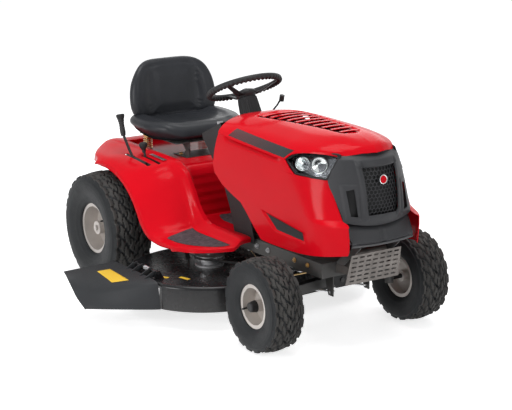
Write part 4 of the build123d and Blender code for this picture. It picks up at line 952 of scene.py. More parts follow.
class MOWER_OT_nose(bpy.types.Operator):
    """Grille with its mesh, vents and round badge, near-black plates behind them as painted shade, and the
    bumper below it
    """

    bl_idname = "mower.nose"
    bl_label = "Grille and bumper"

    def execute(self, context):
        def bottom(across):
            return 521 + 24 * across ** 1.6

        def top(across):
            return 802 - 6 * across ** 2

        halves = patch_rows(bottom, top, 60, 96)
        face = mirrored_sheet("grille", [list(row) for row in zip(*halves)], 0.004)
        opening = [(-66, 566), (66, 566), (74, 580), (78, 750), (-78, 750), (-74, 580)]
        cut(face, prism("mesh_opening", opening, 1400, 1560, "x"))
        for side in (-1, 1):
            vent = [(side * 111, 564), (side * 138, 568), (side * 142, 664), (side * 115, 671)]
            cut(face, prism("vent_opening", vent, 1340, 1560, "x"))
        add_modifier(face, "BEVEL", width=0.0012, segments=2, limit_method="ANGLE",
                     angle_limit=math.radians(50))
        apply_modifiers(face)
        crisp(face, 38)
        mesh = hex_mesh("grille_mesh", 66, 76, 568, 752, 16.5, "trim_charcoal")
        shade_plates = []
        # Near-black plates behind the mesh and the vents, painted shade where the grille's inside lies in
        # shadow: sideways limits, height limits and depth.
        for y_low, y_high, z_low, z_high, depth in (
            (-104, 104, 550, 770, 26), (-168, -94, 546, 694, 12), (94, 168, 546, 694, 12)
        ):
            rows = []
            across = [y_low + (y_high - y_low) * k / 12 for k in range(13)]
            for row in range(9):
                z = z_low + (z_high - z_low) * row / 8
                rows.append([place(nose_point(y, z, -depth), y, z) for y in across])
            back = grid_object("back", rows)
            add_modifier(back, "SOLIDIFY", thickness=0.003)
            apply_modifiers(back)
            # Near black: painted shade behind the openings.
            back.data.materials.append(FINISHES["dash_black"])
            shade_plates.append(back)
        face.data.materials.append(FINISHES["trim_charcoal"])
        whole = join("grille", [face, mesh, *shade_plates])
        finish_piece(whole, "grille", "hood", None, ("grille",))

        badge_at = place(nose_point(0, 701, 5), 0, 701)
        ring = disc_on("badge_ring", badge_at, (1, 0, 0.12),
                       [(-0.004, 0.0), (-0.004, 0.019), (0.003, 0.0185), (0.0045, 0.017), (0.003, 0.0155),
                        (0.001, 0.0)])
        ring.data.materials.append(FINISHES["reflector"])
        red = disc_on("badge_disc", badge_at, (1, 0, 0.12),
                      [(0.0, 0.0), (0.0, 0.0152), (0.0035, 0.0148), (0.0045, 0.012), (0.0052, 0.0)])
        red.data.materials.append(FINISHES["body_red"])
        badge = join("badge", [ring, red])
        finish_piece(badge, "badge", "hood")

        rows = []
        for row in range(27):
            share = row / 26
            line = []
            for column in range(41):
                across = column / 40
                high = 517 + 24 * across ** 1.6
                low = 449 + 5 * across ** 2
                z = high + (low - high) * share
                half = 166 - 20 * share
                y = half * across
                shelf = between(share, [(0, 1476), (0.1, 1487), (0.22, 1494), (0.8, 1508), (0.86, 1508),
                                        (0.9, 1503), (1, 1500)])
                x = shelf - (46 - 38 * share) * across ** 2.2 + 10 * eased(across, 0.85, 1.0) * share
                x += 3 * eased(share, 0.08, 0.16) * (1 - eased(abs(across - 0.5), 0.40, 0.46))
                line.append((x, y, z))
            rows.append(line)
        bumper = mirrored_sheet("bumper", list(zip(*rows)), 0.004)
        bumper.data.materials.append(FINISHES["trim_charcoal"])
        rows = []
        for column in range(41):
            y = 150 * (column / 20 - 1)
            across = abs(y) / 150
            x = 1502 - 8 * across ** 2.2
            section = [(-16, -5), (2, -6), (6, -3), (6, 2), (2, 4), (-16, 3)]
            rows.append([place(x + a, y, 449 + 5 * across ** 2 + b) for a, b in section])
        lip = crisp(flip_if_inside_out(grid_object("lip", rows, closed_columns=True)), 50)
        lip.data.materials.append(FINISHES["trim_light"])
        whole = join("bumper", [crisp(bumper, 38), lip])
        finish_piece(whole, "bumper", "hood", None, ("bumper",))
        return {"FINISHED"}


# Upper and lower edge of a headlight's lens on the machine's left, as (x, y, z) from its rear tip forwards.
LENS_UPPER = [(1176, 226, 751), (1213, 206, 781), (1300, 170, 795), (1400, 131, 796)]
LENS_LOWER = [(1176, 226, 750), (1240, 227, 705), (1320, 212, 703), (1384, 183, 703)]


def lens_point(part, down, push):
    """A point on the lens, pushed out of it or in."""
    upper = [between(part, [(i / 3, p[axis]) for i, p in enumerate(LENS_UPPER)]) for axis in range(3)]
    lower = [between(part, [(i / 3, p[axis]) for i, p in enumerate(LENS_LOWER)]) for axis in range(3)]
    point = [a + (b - a) * down for a, b in zip(upper, lower)]
    crown = 7 * math.sin(math.pi * down) * math.sin(math.pi * min(part * 1.1, 1))
    out = (0.45, 0.87, 0.15)
    return [p + o * (crown + push) for p, o in zip(point, out)]


class MOWER_OT_headlights(bpy.types.Operator):
    """Two headlights: clear lens, dark bezel, bright bowls"""

    bl_idname = "mower.headlights"
    bl_label = "Headlights"

    def execute(self, context):
        for side, word in ((-1, "right"), (1, "left")):
            def sheet(name, push, finish_name, thick, trim=0.0):
                rows = []
                for row in range(17):
                    down = trim + (1 - 2 * trim) * row / 16
                    line = []
                    for column in range(33):
                        x, y, z = lens_point(trim + (1 - 2 * trim) * column / 32, down, push)
                        line.append(place(x, side * y, z))
                    rows.append(line)
                made = flip_if_inside_out(grid_object(name, rows))
                add_modifier(made, "SOLIDIFY", thickness=thick, offset=0)
                apply_modifiers(made)
                made.data.materials.append(FINISHES[finish_name])
                return crisp(made, 60)
            lens = sheet("lens", -1.0, "lens_clear", 0.0016)
            back = sheet("back", -30.0, "lamp_back", 0.002)
            border = [lens_point(k / 33, 0.0, 0) for k in range(34)]
            border += [lens_point(k / 33, 1.0, 0) for k in range(33, -1, -1)]
            bezel = tube("bezel", [place(x, side * y, z) for x, y, z in border], 0.0042, steps=10)
            bezel.data.materials.append(FINISHES["dash_black"])
            inner = []
            for ring_push in (-3, -28):
                inner.append([place(p[0], side * p[1], p[2]) for p in
                              [lens_point(k / 33, 0.02, ring_push) for k in range(34)]
                              + [lens_point(k / 33, 0.98, ring_push) for k in range(33, -1, -1)]])
            wall = grid_object("wall", inner, closed_columns=True)
            add_modifier(wall, "SOLIDIFY", thickness=0.001)
            apply_modifiers(wall)
            wall.data.materials.append(FINISHES["trim_charcoal"])
            bowls = []
            for part, radius in ((0.42, 26), (0.72, 31)):
                x, y, z = lens_point(part, 0.5, -20)
                bowl = disc_on("bowl", place(x, side * y, z), (0.75, side * 0.6, 0.1), [
                    (-0.012, 0.0), (-0.011, 0.006), (-0.006, 0.014), (0.0, radius * 0.0009),
                    (0.010, radius / 1000), (0.011, radius / 1000 + 0.0015), (0.008, radius / 1000 + 0.0022),
                    (-0.013, radius * 0.0008), (-0.016, 0.0)], steps=48)
                bowl.data.materials.append(FINISHES["reflector"])
                bulb = disc_on("bulb", place(x, side * y, z), (0.75, side * 0.6, 0.1), [
                    (-0.01, 0.0), (-0.01, 0.006), (0.004, 0.006), (0.008, 0.0045), (0.01, 0.0)], steps=24)
                bulb.data.materials.append(FINISHES["lens_clear"] if part > 0.5 else FINISHES["reflector"])
                bowls += [bowl, bulb]
            whole = join(f"headlight_{word}", [bezel, lens, back, wall, *bowls])
            finish_piece(whole, f"headlight_{word}", "hood", None, ("headlights",))
        return {"FINISHED"}


# ---------------------------------------------------------------- tyres
def tyre_profile(radius, half, rim_radius, flat):
    """Cross-section of a fat turf tyre, from one bead over the tread to the other, (along, radius)."""
    wall = radius - rim_radius
    side = [
        (half * 0.62, rim_radius - 0.004), (half * 0.74, rim_radius - 0.001),
        (half * 0.8, rim_radius + 0.005),
        (half * 0.9, rim_radius + wall * 0.22), (half * 0.985, rim_radius + wall * 0.45),
        (half, rim_radius + wall * 0.58), (half * 0.985, rim_radius + wall * 0.72),
        (half * 0.93, radius - wall * 0.15), (half * 0.84, radius - wall * 0.065),
        (half * 0.7, radius - flat * 2.4), (half * 0.5, radius - flat), (half * 0.25, radius - flat * 0.3),
        (0, radius),
    ]
    return [(-a, r) for a, r in side] + [(a, r) for a, r in reversed(side[:-1])]


def smooth_profile(points, count):
    """Evenly spaced points along a smooth curve through the given ones."""
    lengths = [0.0]
    for (a, b), (c, d) in zip(points, points[1:]):
        lengths.append(lengths[-1] + math.hypot(c - a, d - b))
    along = [(l, p[0]) for l, p in zip(lengths, points)]
    radial = [(l, p[1]) for l, p in zip(lengths, points)]
    total = lengths[-1]
    return [(curve(total * k / count, along), curve(total * k / count, radial)) for k in range(count + 1)]


# Share of the tread's half width where its rows of blocks give way to the shoulder bars.
SHOULDER = 0.74


def tread_height(across, angle, blocks):
    """1 on a rubber block and 0 in a groove; across runs from -1 to 1 over the tread, angle in turns."""
    side = abs(across)
    if side > 1.0:
        return 0.0
    if side > SHOULDER:
        # Shoulder bars that run out over the edge.
        phase = (angle * blocks + (0.25 if across > 0 else 0.75)) % 1.0
        bar = min(phase, 1 - phase)
        return eased(bar, 0.13, 0.21) * (1 - eased(side, 0.95, 1.0))
    # Wavy interlocking blocks in rows between wavy rings.
    lane = side / SHOULDER * 3
    wave = 0.16 * math.sin(2 * math.pi * angle * blocks + (math.pi if across < 0 else 0))
    lane_at = lane + wave
    index = math.floor(lane_at)
    inside = lane_at - index
    ring = min(inside, 1 - inside)
    shift = 0.5 * (index % 2) + (0.25 if across > 0 else 0.0)
    zigzag = 0.12 * math.sin(2 * math.pi * inside)
    phase = (angle * blocks + shift + zigzag) % 1.0
    bar = min(phase, 1 - phase)
    if lane < 0.06:
        return 1.0
    return min(eased(ring, 0.05, 0.14), eased(bar, 0.1, 0.19))


def make_tyre(name, centre, radius, half, rim_radius, blocks):
    """A turf tyre: smooth sidewalls with raised rings, and a tread of wavy blocks."""
    depth = settings().tread_depth
    profile = smooth_profile(tyre_profile(radius, half, rim_radius, depth * 0.7), 132)
    around = blocks * 20
    tread_half = half * 0.9
    rows = []
    for step in range(around):
        turn = step / around
        angle = 2 * math.pi * turn
        row = []
        for along, reach in profile:
            outside = (reach - rim_radius) / (radius - rim_radius)
            if outside > 0.76:
                share = along / tread_half
                lift = tread_height(max(-1.0, min(1.0, share * 0.985)), turn, blocks)
                drop = depth * (1 - lift)
                reach -= drop * eased(outside, 0.74, 0.86)
            elif 0.12 < outside < 0.2 or 0.6 < outside < 0.63:
                along *= 1.006
            row.append(Vector((reach * math.cos(angle), along, reach * math.sin(angle))) + centre)
        rows.append(row)
    made = grid_object(name, rows, closed_rows=True, closed_columns=True)
    flip_if_inside_out(made)
    made.data.materials.append(FINISHES["tyre_rubber"])
    made.data.materials.append(FINISHES["tread_rubber"])
    for face in made.data.polygons:
        middle = face.center - centre
        reach = math.hypot(middle.x, middle.z)
        edge = between(abs(middle.y), [(0, radius), (half * 0.5, radius - depth * 0.9),
                                       (half * 0.86, radius - depth * 2.6)])
        if abs(middle.y) < half * 0.86 and reach > edge - depth * 0.45:
            face.material_index = 1
    return crisp(made, 48)


# Each pair of wheels: the right one's (x, -y, z) in millimetres, then the tyre's radius, half width
# and rim radius in metres, and its count of tread blocks.
WHEELS = {
    "front": (1215, 365, 190.5, 0.1905, 0.075, 0.092, 20),
    "rear": (0, 400, 254, 0.254, 0.1015, 0.117, 24),
}


class MOWER_OT_tyres(bpy.types.Operator):
    """Four turf tyres, with valves in the rims"""

    bl_idname = "mower.tyres"
    bl_label = "Tyres"

    def execute(self, context):
        for end, (x, y, z, radius, half, rim_radius, blocks) in WHEELS.items():
            for side, word in ((-1, "right"), (1, "left")):
                centre = place(x, side * y, z)
                tyre = make_tyre(f"{end}_tyre_{word}_treaded", centre, radius, half, rim_radius, blocks)
                finish_piece(tyre, f"{end}_tyre_{word}_treaded", f"{end}_wheel_{word}", None,
                             (f"{end}_tyre_{word}",))
                stem_turn = math.radians(200 if end == "front" else 35)
                foot = centre + Vector((math.cos(stem_turn) * rim_radius * 0.72, side * half * 0.42,
                                        math.sin(stem_turn) * rim_radius * 0.72))
                tip = foot + Vector((0.004, side * 0.032, 0))
                stem = tube(f"{end}_valve_{word}",
                            [foot, foot.lerp(tip, 0.3), foot.lerp(tip, 0.34), tip.lerp(foot, 0.3),
                                                  tip.lerp(foot, 0.28), tip],
                            [0.0055, 0.0052, 0.0036, 0.0036, 0.0045, 0.0042], steps=12)
                finish_piece(stem, f"{end}_valve_{word}", f"{end}_wheel_{word}",
                             FINISHES["cap_black"])
        return {"FINISHED"}


# ---------------------------------------------------------------- fenders
# One half of the pressing as lines that run from the rear skirt forwards, each at its own distance
# from the centre line: distance and (x, z) points in millimetres. The first line is the tunnel's.
TUNNEL_LINE = [
    (-250, 548), (-244, 590), (-222, 598), (-165, 597), (-152, 575), (100, 574), (325, 574), (352, 574),
    (378, 566), (396, 540), (420, 455), (444, 376), (462, 359), (560, 357), (720, 357), (846, 357),
    (856, 336),
]
FENDER_LINES = [
    (0, TUNNEL_LINE),
    (188, TUNNEL_LINE),
    (203, [(-250, 548), (-244, 592), (-222, 601), (-165, 602), (-140, 588), (100, 586), (320, 584),
           (360, 574), (384, 566), (404, 540), (430, 470), (460, 404), (486, 374), (560, 362), (720, 360),
           (846, 358), (856, 336)]),
    (218, [(-250, 548), (-244, 593), (-222, 602), (-165, 606), (-120, 606), (100, 605), (316, 599),
           (378, 584), (420, 563), (446, 530), (476, 492), (514, 434), (552, 396), (600, 371), (720, 364),
           (846, 360), (856, 335)]),
    (240, [(-250, 546), (-244, 592), (-222, 601), (-165, 605), (-110, 605), (104, 604), (310, 598),
           (374, 582), (414, 562), (444, 529), (475, 490), (513, 432), (550, 394), (600, 367), (720, 361),
           (846, 356), (856, 331)]),
    (256, [(-250, 544), (-244, 589), (-222, 597), (-165, 600), (-106, 600), (108, 599), (300, 591),
           (362, 570), (402, 544), (432, 508), (464, 464), (494, 412), (526, 368), (566, 342), (700, 338),
           (840, 336), (852, 316)]),
    (270, [(-248, 542), (-242, 586), (-220, 594), (-165, 598), (-102, 598), (110, 597), (294, 588),
           (350, 566), (390, 538), (422, 500), (455, 455), (484, 403), (514, 357), (556, 331), (700, 329),
           (836, 328), (850, 308)]),
    (330, [(-200, 536), (-190, 577), (-170, 584), (-130, 587), (-80, 588), (80, 587), (262, 572), (320, 546),
           (364, 510), (398, 474), (434, 430), (466, 388), (500, 348), (540, 324), (680, 320), (794, 320),
           (808, 302)]),
    (396, [(-120, 540), (-108, 569), (-92, 576), (-60, 579), (-20, 580), (70, 577), (210, 552), (278, 518),
           (330, 478), (370, 432), (400, 392), (434, 356), (474, 330), (530, 314), (640, 313), (728, 314),
           (744, 296)]),
    (418, [(-60, 543), (-48, 563), (-36, 569), (-16, 572), (10, 573), (74, 568), (192, 541), (262, 509),
           (318, 465), (356, 418), (386, 376), (420, 344), (462, 320), (524, 309), (620, 310), (690, 311),
           (706, 294)]),
    (432, [(-44, 545), (-30, 554), (-14, 558), (0, 561), (20, 563), (78, 560), (180, 536), (254, 500),
           (310, 456), (348, 410), (378, 366), (412, 333), (456, 311), (520, 302), (600, 304), (646, 306),
           (662, 291)]),
    (437, [(-40, 541), (-28, 545), (-14, 547), (4, 548), (24, 548), (80, 546), (172, 523), (244, 486),
           (298, 442), (336, 396), (366, 352), (402, 318), (450, 297), (518, 289), (584, 292), (618, 295),
           (632, 284)]),
    (434, [(-38, 538), (-27, 540), (-14, 541), (4, 541.5), (26, 540), (80, 538), (168, 516), (238, 480),
           (290, 436), (327, 391), (357, 348), (395, 312), (446, 291), (518, 283), (580, 286), (612, 289),
           (626, 280)]),
]


def dense_line(points, count):
    """Points along a smooth line through (x, z) points, equally many between each two."""
    xs = [(float(index), x) for index, (x, z) in enumerate(points)]
    zs = [(float(index), z) for index, (x, z) in enumerate(points)]
    at = [xs[-1][0] * k / count for k in range(count + 1)]
    return [(curve(t, xs), curve(t, zs)) for t in at]


def fender_rows():
    """Rows of one half, from the centre line outwards."""
    count = 160
    lines = [(y, dense_line(points, count)) for y, points in FENDER_LINES]
    rows = []
    stops = [0, 60, 120, 180, 186, 191, 196, 200, 204, 208, 212, 216, 220, 226, 232, 238, 243, 247, 251, 255,
             259, 263, 268]
    stops += [274, 284, 296, 308, 320, 332, 346, 360, 374, 386, 396, 404, 410, 415, 420, 425, 429, 432]
    for stop in stops:
        # The rounded shoulder is a curve over its own five lines, and the rest is straight between lines.
        shoulder = stop > 270
        used = lines[6:11] if shoulder else lines[:11]
        bend = curve if shoulder else between
        row = []
        for k in range(count + 1):
            xs = [(y, line[k][0]) for y, line in used]
            zs = [(y, line[k][1]) for y, line in used]
            row.append((bend(stop, xs), stop, bend(stop, zs)))
        rows.append(row)
    for y, line in lines[11:]:
        rows.append([(x, y, z) for x, z in line])
    # Pressed steps in the riser and shallow beads in the floor.
    for row in rows:
        for k, (x, y, z) in enumerate(row):
            if y < 192 and 380 < x < 452 and 372 < z < 562:
                phase = (z - 372) / 190 * 5 % 1.0
                row[k] = (x + 3.5 * (eased(phase, 0.0, 0.15) - eased(phase, 0.15, 1.0)), y, z)
    return rows


class MOWER_OT_fenders(bpy.types.Operator):
    """Red fender pressing with its rolled edge, riser steps and lever slots"""

    bl_idname = "mower.fenders"
    bl_label = "Fenders and floor"

    def execute(self, context):
        shell = mirrored_sheet("fender_pressing", fender_rows(), SHEET)
        slots = [
            prism("lift_slot", [(52, -316), (262, -316), (266, -325), (262, -334), (52, -334), (48, -325)],
                  470, 640, "z"),
            prism("shift_slot", [(146, -283), (290, -283), (296, -290), (290, -297), (146, -297),
                                 (140, -290)], 500, 640, "z"),
            prism("floor_end", [(728, -188), (900, -188), (900, 188), (728, 188)], 330, 400, "z"),
        ]
        for tool in slots:
            cut(shell, tool)
        crisp(shell, 40)
        finish_piece(shell, "fender_pressing", "chassis", FINISHES["body_red"], ("fender_body",))
        return {"FINISHED"}


class MOWER_OT_mats(bpy.types.Operator):
    """Gritty foot mats on the floor and on the two outer treads"""

    bl_idname = "mower.mats"
    bl_label = "Foot mats"

    def execute(self, context):
        rows = fender_rows()
        pieces = []
        for side in (-1, 1):
            # Each mat as (distance from the centre line, rearmost x, foremost x).
            for name, edge in (
                ("outer", [(272, 532, 826), (300, 527, 812), (330, 526, 782), (356, 526, 744),
                           (378, 526, 700),
                           (392, 528, 650), (400, 532, 600)]),
                ("middle", [(10, 474, 690), (60, 474, 690), (98, 474, 690), (120, 520, 690),
                            (132, 560, 690)]),
            ):
                first, last = edge[0][0], edge[-1][0]
                grid = []
                for step in range(25):
                    y = first + (last - first) * step / 24
                    beyond = min((row for row in rows if row[60][1] > y), key=lambda row: row[60][1])
                    below = max((row for row in rows[:-4] if row[60][1] <= y), key=lambda row: row[60][1])
                    share = (y - below[60][1]) / max(beyond[60][1] - below[60][1], 0.001)
                    x0, x1 = (curve(y, [(e[0], e[k]) for e in edge]) for k in (1, 2))
                    # The floor's own height at this x, on the rows on either side.
                    floors = [[(p[0], p[2]) for p in row if p[0] > 455] for row in (below, beyond)]
                    line = []
                    for k in range(49):
                        x = x0 + (x1 - x0) * k / 48
                        heights = [between(x, floor) for floor in floors]
                        line.append(place(x, side * y, heights[0] + (heights[1] - heights[0]) * share + 1.1))
                    grid.append(line)
                mat = flip_if_inside_out(grid_object(f"mat_{name}", grid))
                if mat.data.polygons[300].normal.z < 0:
                    mat.data.flip_normals()
                add_modifier(mat, "SOLIDIFY", thickness=0.0016, offset=0.4)
                apply_modifiers(mat)
                mat.data.materials.append(FINISHES["mat_grit"])
                pieces.append(mat)
        finish_piece(join("foot_mats", pieces), "foot_mats", "chassis", None, ("tread_mats",))
        return {"FINISHED"}


# ---------------------------------------------------------------- seat
# Points round each ring of the cushion and the back.
SEAT_POINTS = 96


def seat_cushion_height(x, y):
    """Top of the cushion, in millimetres, before its seams."""
    side = abs(y)
    back = between(x, [(-120, 0), (240, 1)])
    dish = 716 + 6 * back
    bolster = 26 * eased(side, 120, 205) * (1 - 0.5 * back)
    nose = -16 * eased(x, 190, 245)
    return dish + bolster + nose


def rounded_rectangle(half_x, half_y, count):
    """Points round a rectangle with rounded corners, from the middle of its front."""
    points = []
    power = 2 / 4.2
    for k in range(count):
        angle = 2 * math.pi * k / count
        c, s = math.cos(angle), math.sin(angle)
        points.append((
            half_x * math.copysign(abs(c) ** power, c),
            half_y * math.copysign(abs(s) ** power, s),
        ))
    return points


def seat_form():
    """The cushion: rings from the middle of the top over the rolled edge to the underside."""
    rings = []
    profile = []
    for k in range(15):
        profile.append((k / 14 * 0.86, 0))
    for k in range(1, 13):
        turn = math.pi / 2 * k / 12
        profile.append((0.86 + 0.14 * math.sin(turn), -30 * (1 - math.cos(turn))))
    for k in range(1, 11):
        profile.append((1 - 0.14 * (k / 10) ** 1.8, -30 - 34 * k / 10))
    profile += [(0.82, -66), (0.55, -66), (0.0, -66)]
    outline = rounded_rectangle(184, 247, SEAT_POINTS)
    for share, fall in profile:
        ring = []
        for a, b in outline:
            taper = 1 - 0.15 * eased(a, 10, 184)
            x, y = 56 + a * max(share, 0.001), b * taper * max(share, 0.001)
            top = seat_cushion_height(x, y)
            under = 652 + 34 * (1 - eased(x, -110, 120))
            if fall <= -30:
                level = under + (top - 30 - under) * (66 + max(fall, -66)) / 36
            else:
                level = top + fall
            # An oval seam pressed into the top, with a shallow dish inside it.
            reach = math.hypot((x - 70) / 118, y / 165)
            if fall > -20:
                level -= 1000 * settings().seam_depth * math.exp(-((reach - 1) / 0.035) ** 2)
                level -= 6 * (1 - eased(reach, 0.2, 1.0))
            ring.append(place(x, y, level))
        rings.append(ring)
    return rings


def back_form():
    """The high back: rings from the middle of its front over the rolled edge to its rear."""
    rings = []
    profile = [(k / 16 * 0.84, 0) for k in range(17)]
    for k in range(1, 17):
        turn = math.pi * k / 16
        profile.append((0.84 + 0.16 * math.sin(turn), 36 * (1 - math.cos(turn))))
    profile += [(0.6, 72), (0.3, 72), (0.0, 72)]
    for share, depth in profile:
        ring = []
        for k in range(SEAT_POINTS):
            angle = 2 * math.pi * k / SEAT_POINTS
            c, s = math.cos(angle), math.sin(angle)
            a = 226 * math.copysign(abs(c) ** 0.5, c)
            b = 148 * math.copysign(abs(s) ** 0.52, s)
            narrow = 1 - 0.17 * eased(b, -20, 150) - 0.03 * eased(-b, 60, 150)
            y, up = a * narrow * max(share, 0.001), b * max(share, 0.001)
            wrap = 30 * eased(abs(y), 90, 215)
            thin = between(depth, [(0, 0), (72, 1)])
            x = -70 + wrap - depth * (0.86 - 0.25 * eased(up, 20, 150)) - up * 0.14
            reach = max(abs(y) / (128 - 0.06 * up), abs(up - 8) / 112)
            seam = math.exp(-((reach - 1) / 0.03) ** 2) * (1 - thin)
            x -= 1000 * settings().seam_depth * seam
            x += 7 * (1 - thin) * (1 - eased(reach, 0.5, 0.98))
            ring.append(place(x, y, 830 + up))
        rings.append(ring)
    return rings


def puff(made, swell):
    """Lets the cover swell under pressure as cloth does, with the swelling held to a limit in metres."""
    rest = [vertex.co.copy() for vertex in made.data.vertices]
    add_modifier(made, "CLOTH")
    cloth = made.modifiers[0]
    cloth.settings.use_pressure = True
    cloth.settings.uniform_pressure_force = 3.0
    cloth.settings.quality = 4
    cloth.settings.effector_weights.gravity = 0
    cloth.settings.tension_stiffness = 40
    cloth.settings.bending_stiffness = 6
    cloth.point_cache.frame_end = 14
    for step in range(1, 15):
        bpy.context.scene.frame_set(step)
    apply_modifiers(made)
    bpy.context.scene.frame_set(1)
    for vertex, before in zip(made.data.vertices, rest):
        move = vertex.co - before
        if move.length > swell:
            vertex.co = before + move.normalized() * swell
    return made


class MOWER_OT_seat(bpy.types.Operator):
    """Moulded seat with a wrap-round back, rolled edges and pressed seams"""

    bl_idname = "mower.seat"
    bl_label = "Seat"

    def execute(self, context):
        cushion = flip_if_inside_out(grid_object("seat_cushion", seat_form(), closed_columns=True))
        back = flip_if_inside_out(grid_object("seat_back", back_form(), closed_columns=True))
        for made in (cushion, back):
            work = bmesh.new()
            work.from_mesh(made.data)
            bmesh.ops.remove_doubles(work, verts=work.verts, dist=0.0005)
            bmesh.ops.recalc_face_normals(work, faces=work.faces)
            work.to_mesh(made.data)
            work.free()
        puff(cushion, 0.005)
        puff(back, 0.004)
        for made in (cushion, back):
            add_modifier(made, "SUBSURF", levels=1, render_levels=1)
            apply_modifiers(made)
            made.data.shade_smooth()
        finish_piece(cushion, "seat_cushion", "seat_body", FINISHES["seat_vinyl"], ("seat",))
        finish_piece(back, "seat_back", "seat_body", FINISHES["seat_vinyl"], ("seat",))

        path = []
        for k in range(60):
            angle = 2 * math.pi * k / 60
            c, s = math.cos(angle), math.sin(angle)
            x = 56 + 170 * math.copysign(abs(c) ** 0.48, c)
            narrow = 1 - 0.15 * eased(x, 66, 240)
            level = 656 + 34 * (1 - eased(x, -110, 120))
            path.append(place(x, 228 * narrow * math.copysign(abs(s) ** 0.48, s), level))
        rows = []
        for k, point in enumerate(path):
            inward = (place(56, 0, 667) - point).normalized()
            rows.append([point - inward * 0.002, point + inward * 0.006 + Vector((0, 0, -0.004)),
                         point + inward * 0.02 + Vector((0, 0, -0.004)),
                         point + inward * 0.02 + Vector((0, 0, 0.004))])
        base = crisp(flip_if_inside_out(grid_object("seat_base_rim", rows, closed_rows=True,
                                                    closed_columns=True)), 40)
        finish_piece(base, "seat_base_rim", "seat_body", FINISHES["dash_black"])
        return {"FINISHED"}


# ---------------------------------------------------------------- controls
# The column's lean in degrees, and the middle of the steering wheel in millimetres.
COLUMN_TILT, WHEEL_MIDDLE = 25, (530, 0, 925)


def column_frame():
    """The steering wheel's directions: forwards and leftwards in its plane, and along the column."""
    tilt = math.radians(COLUMN_TILT)
    ahead = Vector((math.cos(tilt), 0, math.sin(tilt)))
    along = Vector((-math.sin(tilt), 0, math.cos(tilt)))
    return ahead, Vector((0, 1, 0)), along


class MOWER_OT_wheel(bpy.types.Operator):
    """Steering wheel with finger grips under its rim, three spokes and a domed hub"""

    bl_idname = "mower.wheel"
    bl_label = "Steering wheel"

    def execute(self, context):
        ahead, left, along = column_frame()
        centre = place(*WHEEL_MIDDLE)
        rows = []
        steps = 300
        # The rim's middle radius and the half width and half height of its section, in metres.
        reach, half_wide, half_high = 0.1545, 0.0125, 0.0135
        for step in range(steps):
            angle = 2 * math.pi * step / steps
            out = ahead * math.cos(angle) + left * math.sin(angle)
            row = []
            for k in range(20):
                turn = 2 * math.pi * k / 20
                c, s = math.cos(turn), math.sin(turn)
                wide = half_wide
                if s < 0.1:
                    wide += 0.0022 * eased(-s, -0.1, 0.6) * math.cos(angle * 50)
                row.append(centre + out * (reach + wide * c) + along * (half_high * s * (wide / half_wide)))
            rows.append(row)
        rim = flip_if_inside_out(grid_object("rim", rows, closed_rows=True, closed_columns=True))
        rim.data.shade_smooth()
        pieces = [rim]
        section = [(-1, -0.3), (-1, 0.3), (-0.75, 0.62), (0.75, 0.62), (1, 0.3), (1, -0.3), (0.5, -0.5),
                   (-0.5, -0.5)]
        for angle in (math.radians(180), math.radians(62), math.radians(-62)):
            out = ahead * math.cos(angle) + left * math.sin(angle)
            side = along.cross(out)
            rows = []
            for k in range(15):
                part = k / 14
                reach = 0.03 + (0.152 - 0.03) * part
                drop = -0.034 * (1 - eased(part, 0.15, 1.0)) - 0.002
                half = 0.017 - 0.006 * eased(part, 0.1, 0.8) + 0.003 * eased(part, 0.85, 1.0)
                middle = centre + out * reach + along * drop
                rows.append([middle + side * (half * a) + along * (0.009 * b) for a, b in section])
            spoke = flip_if_inside_out(grid_object("spoke", rows, closed_columns=True))
            add_modifier(spoke, "SUBSURF", levels=2, render_levels=2)
            apply_modifiers(spoke)
            pieces.append(spoke)
        hub_at = centre - along * 0.038
        hub = disc_on("hub", hub_at, along, [
            (-0.03, 0.0), (-0.03, 0.028), (-0.012, 0.034), (-0.002, 0.043), (0.006, 0.046), (0.014, 0.044),
            (0.02, 0.038), (0.0215, 0.034), (0.0205, 0.0325), (0.0225, 0.031), (0.026, 0.02), (0.0275, 0.0)],
            steps=56)
        pieces.append(hub)
        whole = join("steering_wheel_rim", pieces)
        finish_piece(whole, "steering_wheel_rim", "steering_column", FINISHES["grip_black"],
                     ("steering_wheel",))
        return {"FINISHED"}


def grip_piece(name, low, high, body, shape, flutes=0, instead_of=()):
    """A moulded grip along a line, from (share, radius in millimetres) pairs."""
    length = (high - low).length
    along = (high - low).normalized()
    across = along.orthogonal().normalized()
    beside = along.cross(across)
    rows = []
    for k in range(41):
        part = k / 40
        radius = curve(part, shape) / 1000
        row = []
        for step in range(32):
            angle = 2 * math.pi * step / 32
            r = radius * (1 + (0.035 * math.cos(angle * flutes) if flutes else 0))
            r += 0.0006 * math.sin(part * 2 * math.pi * 9) * (1 if 0.3 < part < 0.85 else 0)
            out = across * math.cos(angle) + beside * math.sin(angle)
            row.append(low + along * (length * part) + out * r)
        rows.append(row)
    made = grid_object(name, rows, closed_columns=True)
    close_ends(made)
    crisp(flip_if_inside_out(made), 50)
    return finish_piece(made, name, body, FINISHES["grip_black"], instead_of)


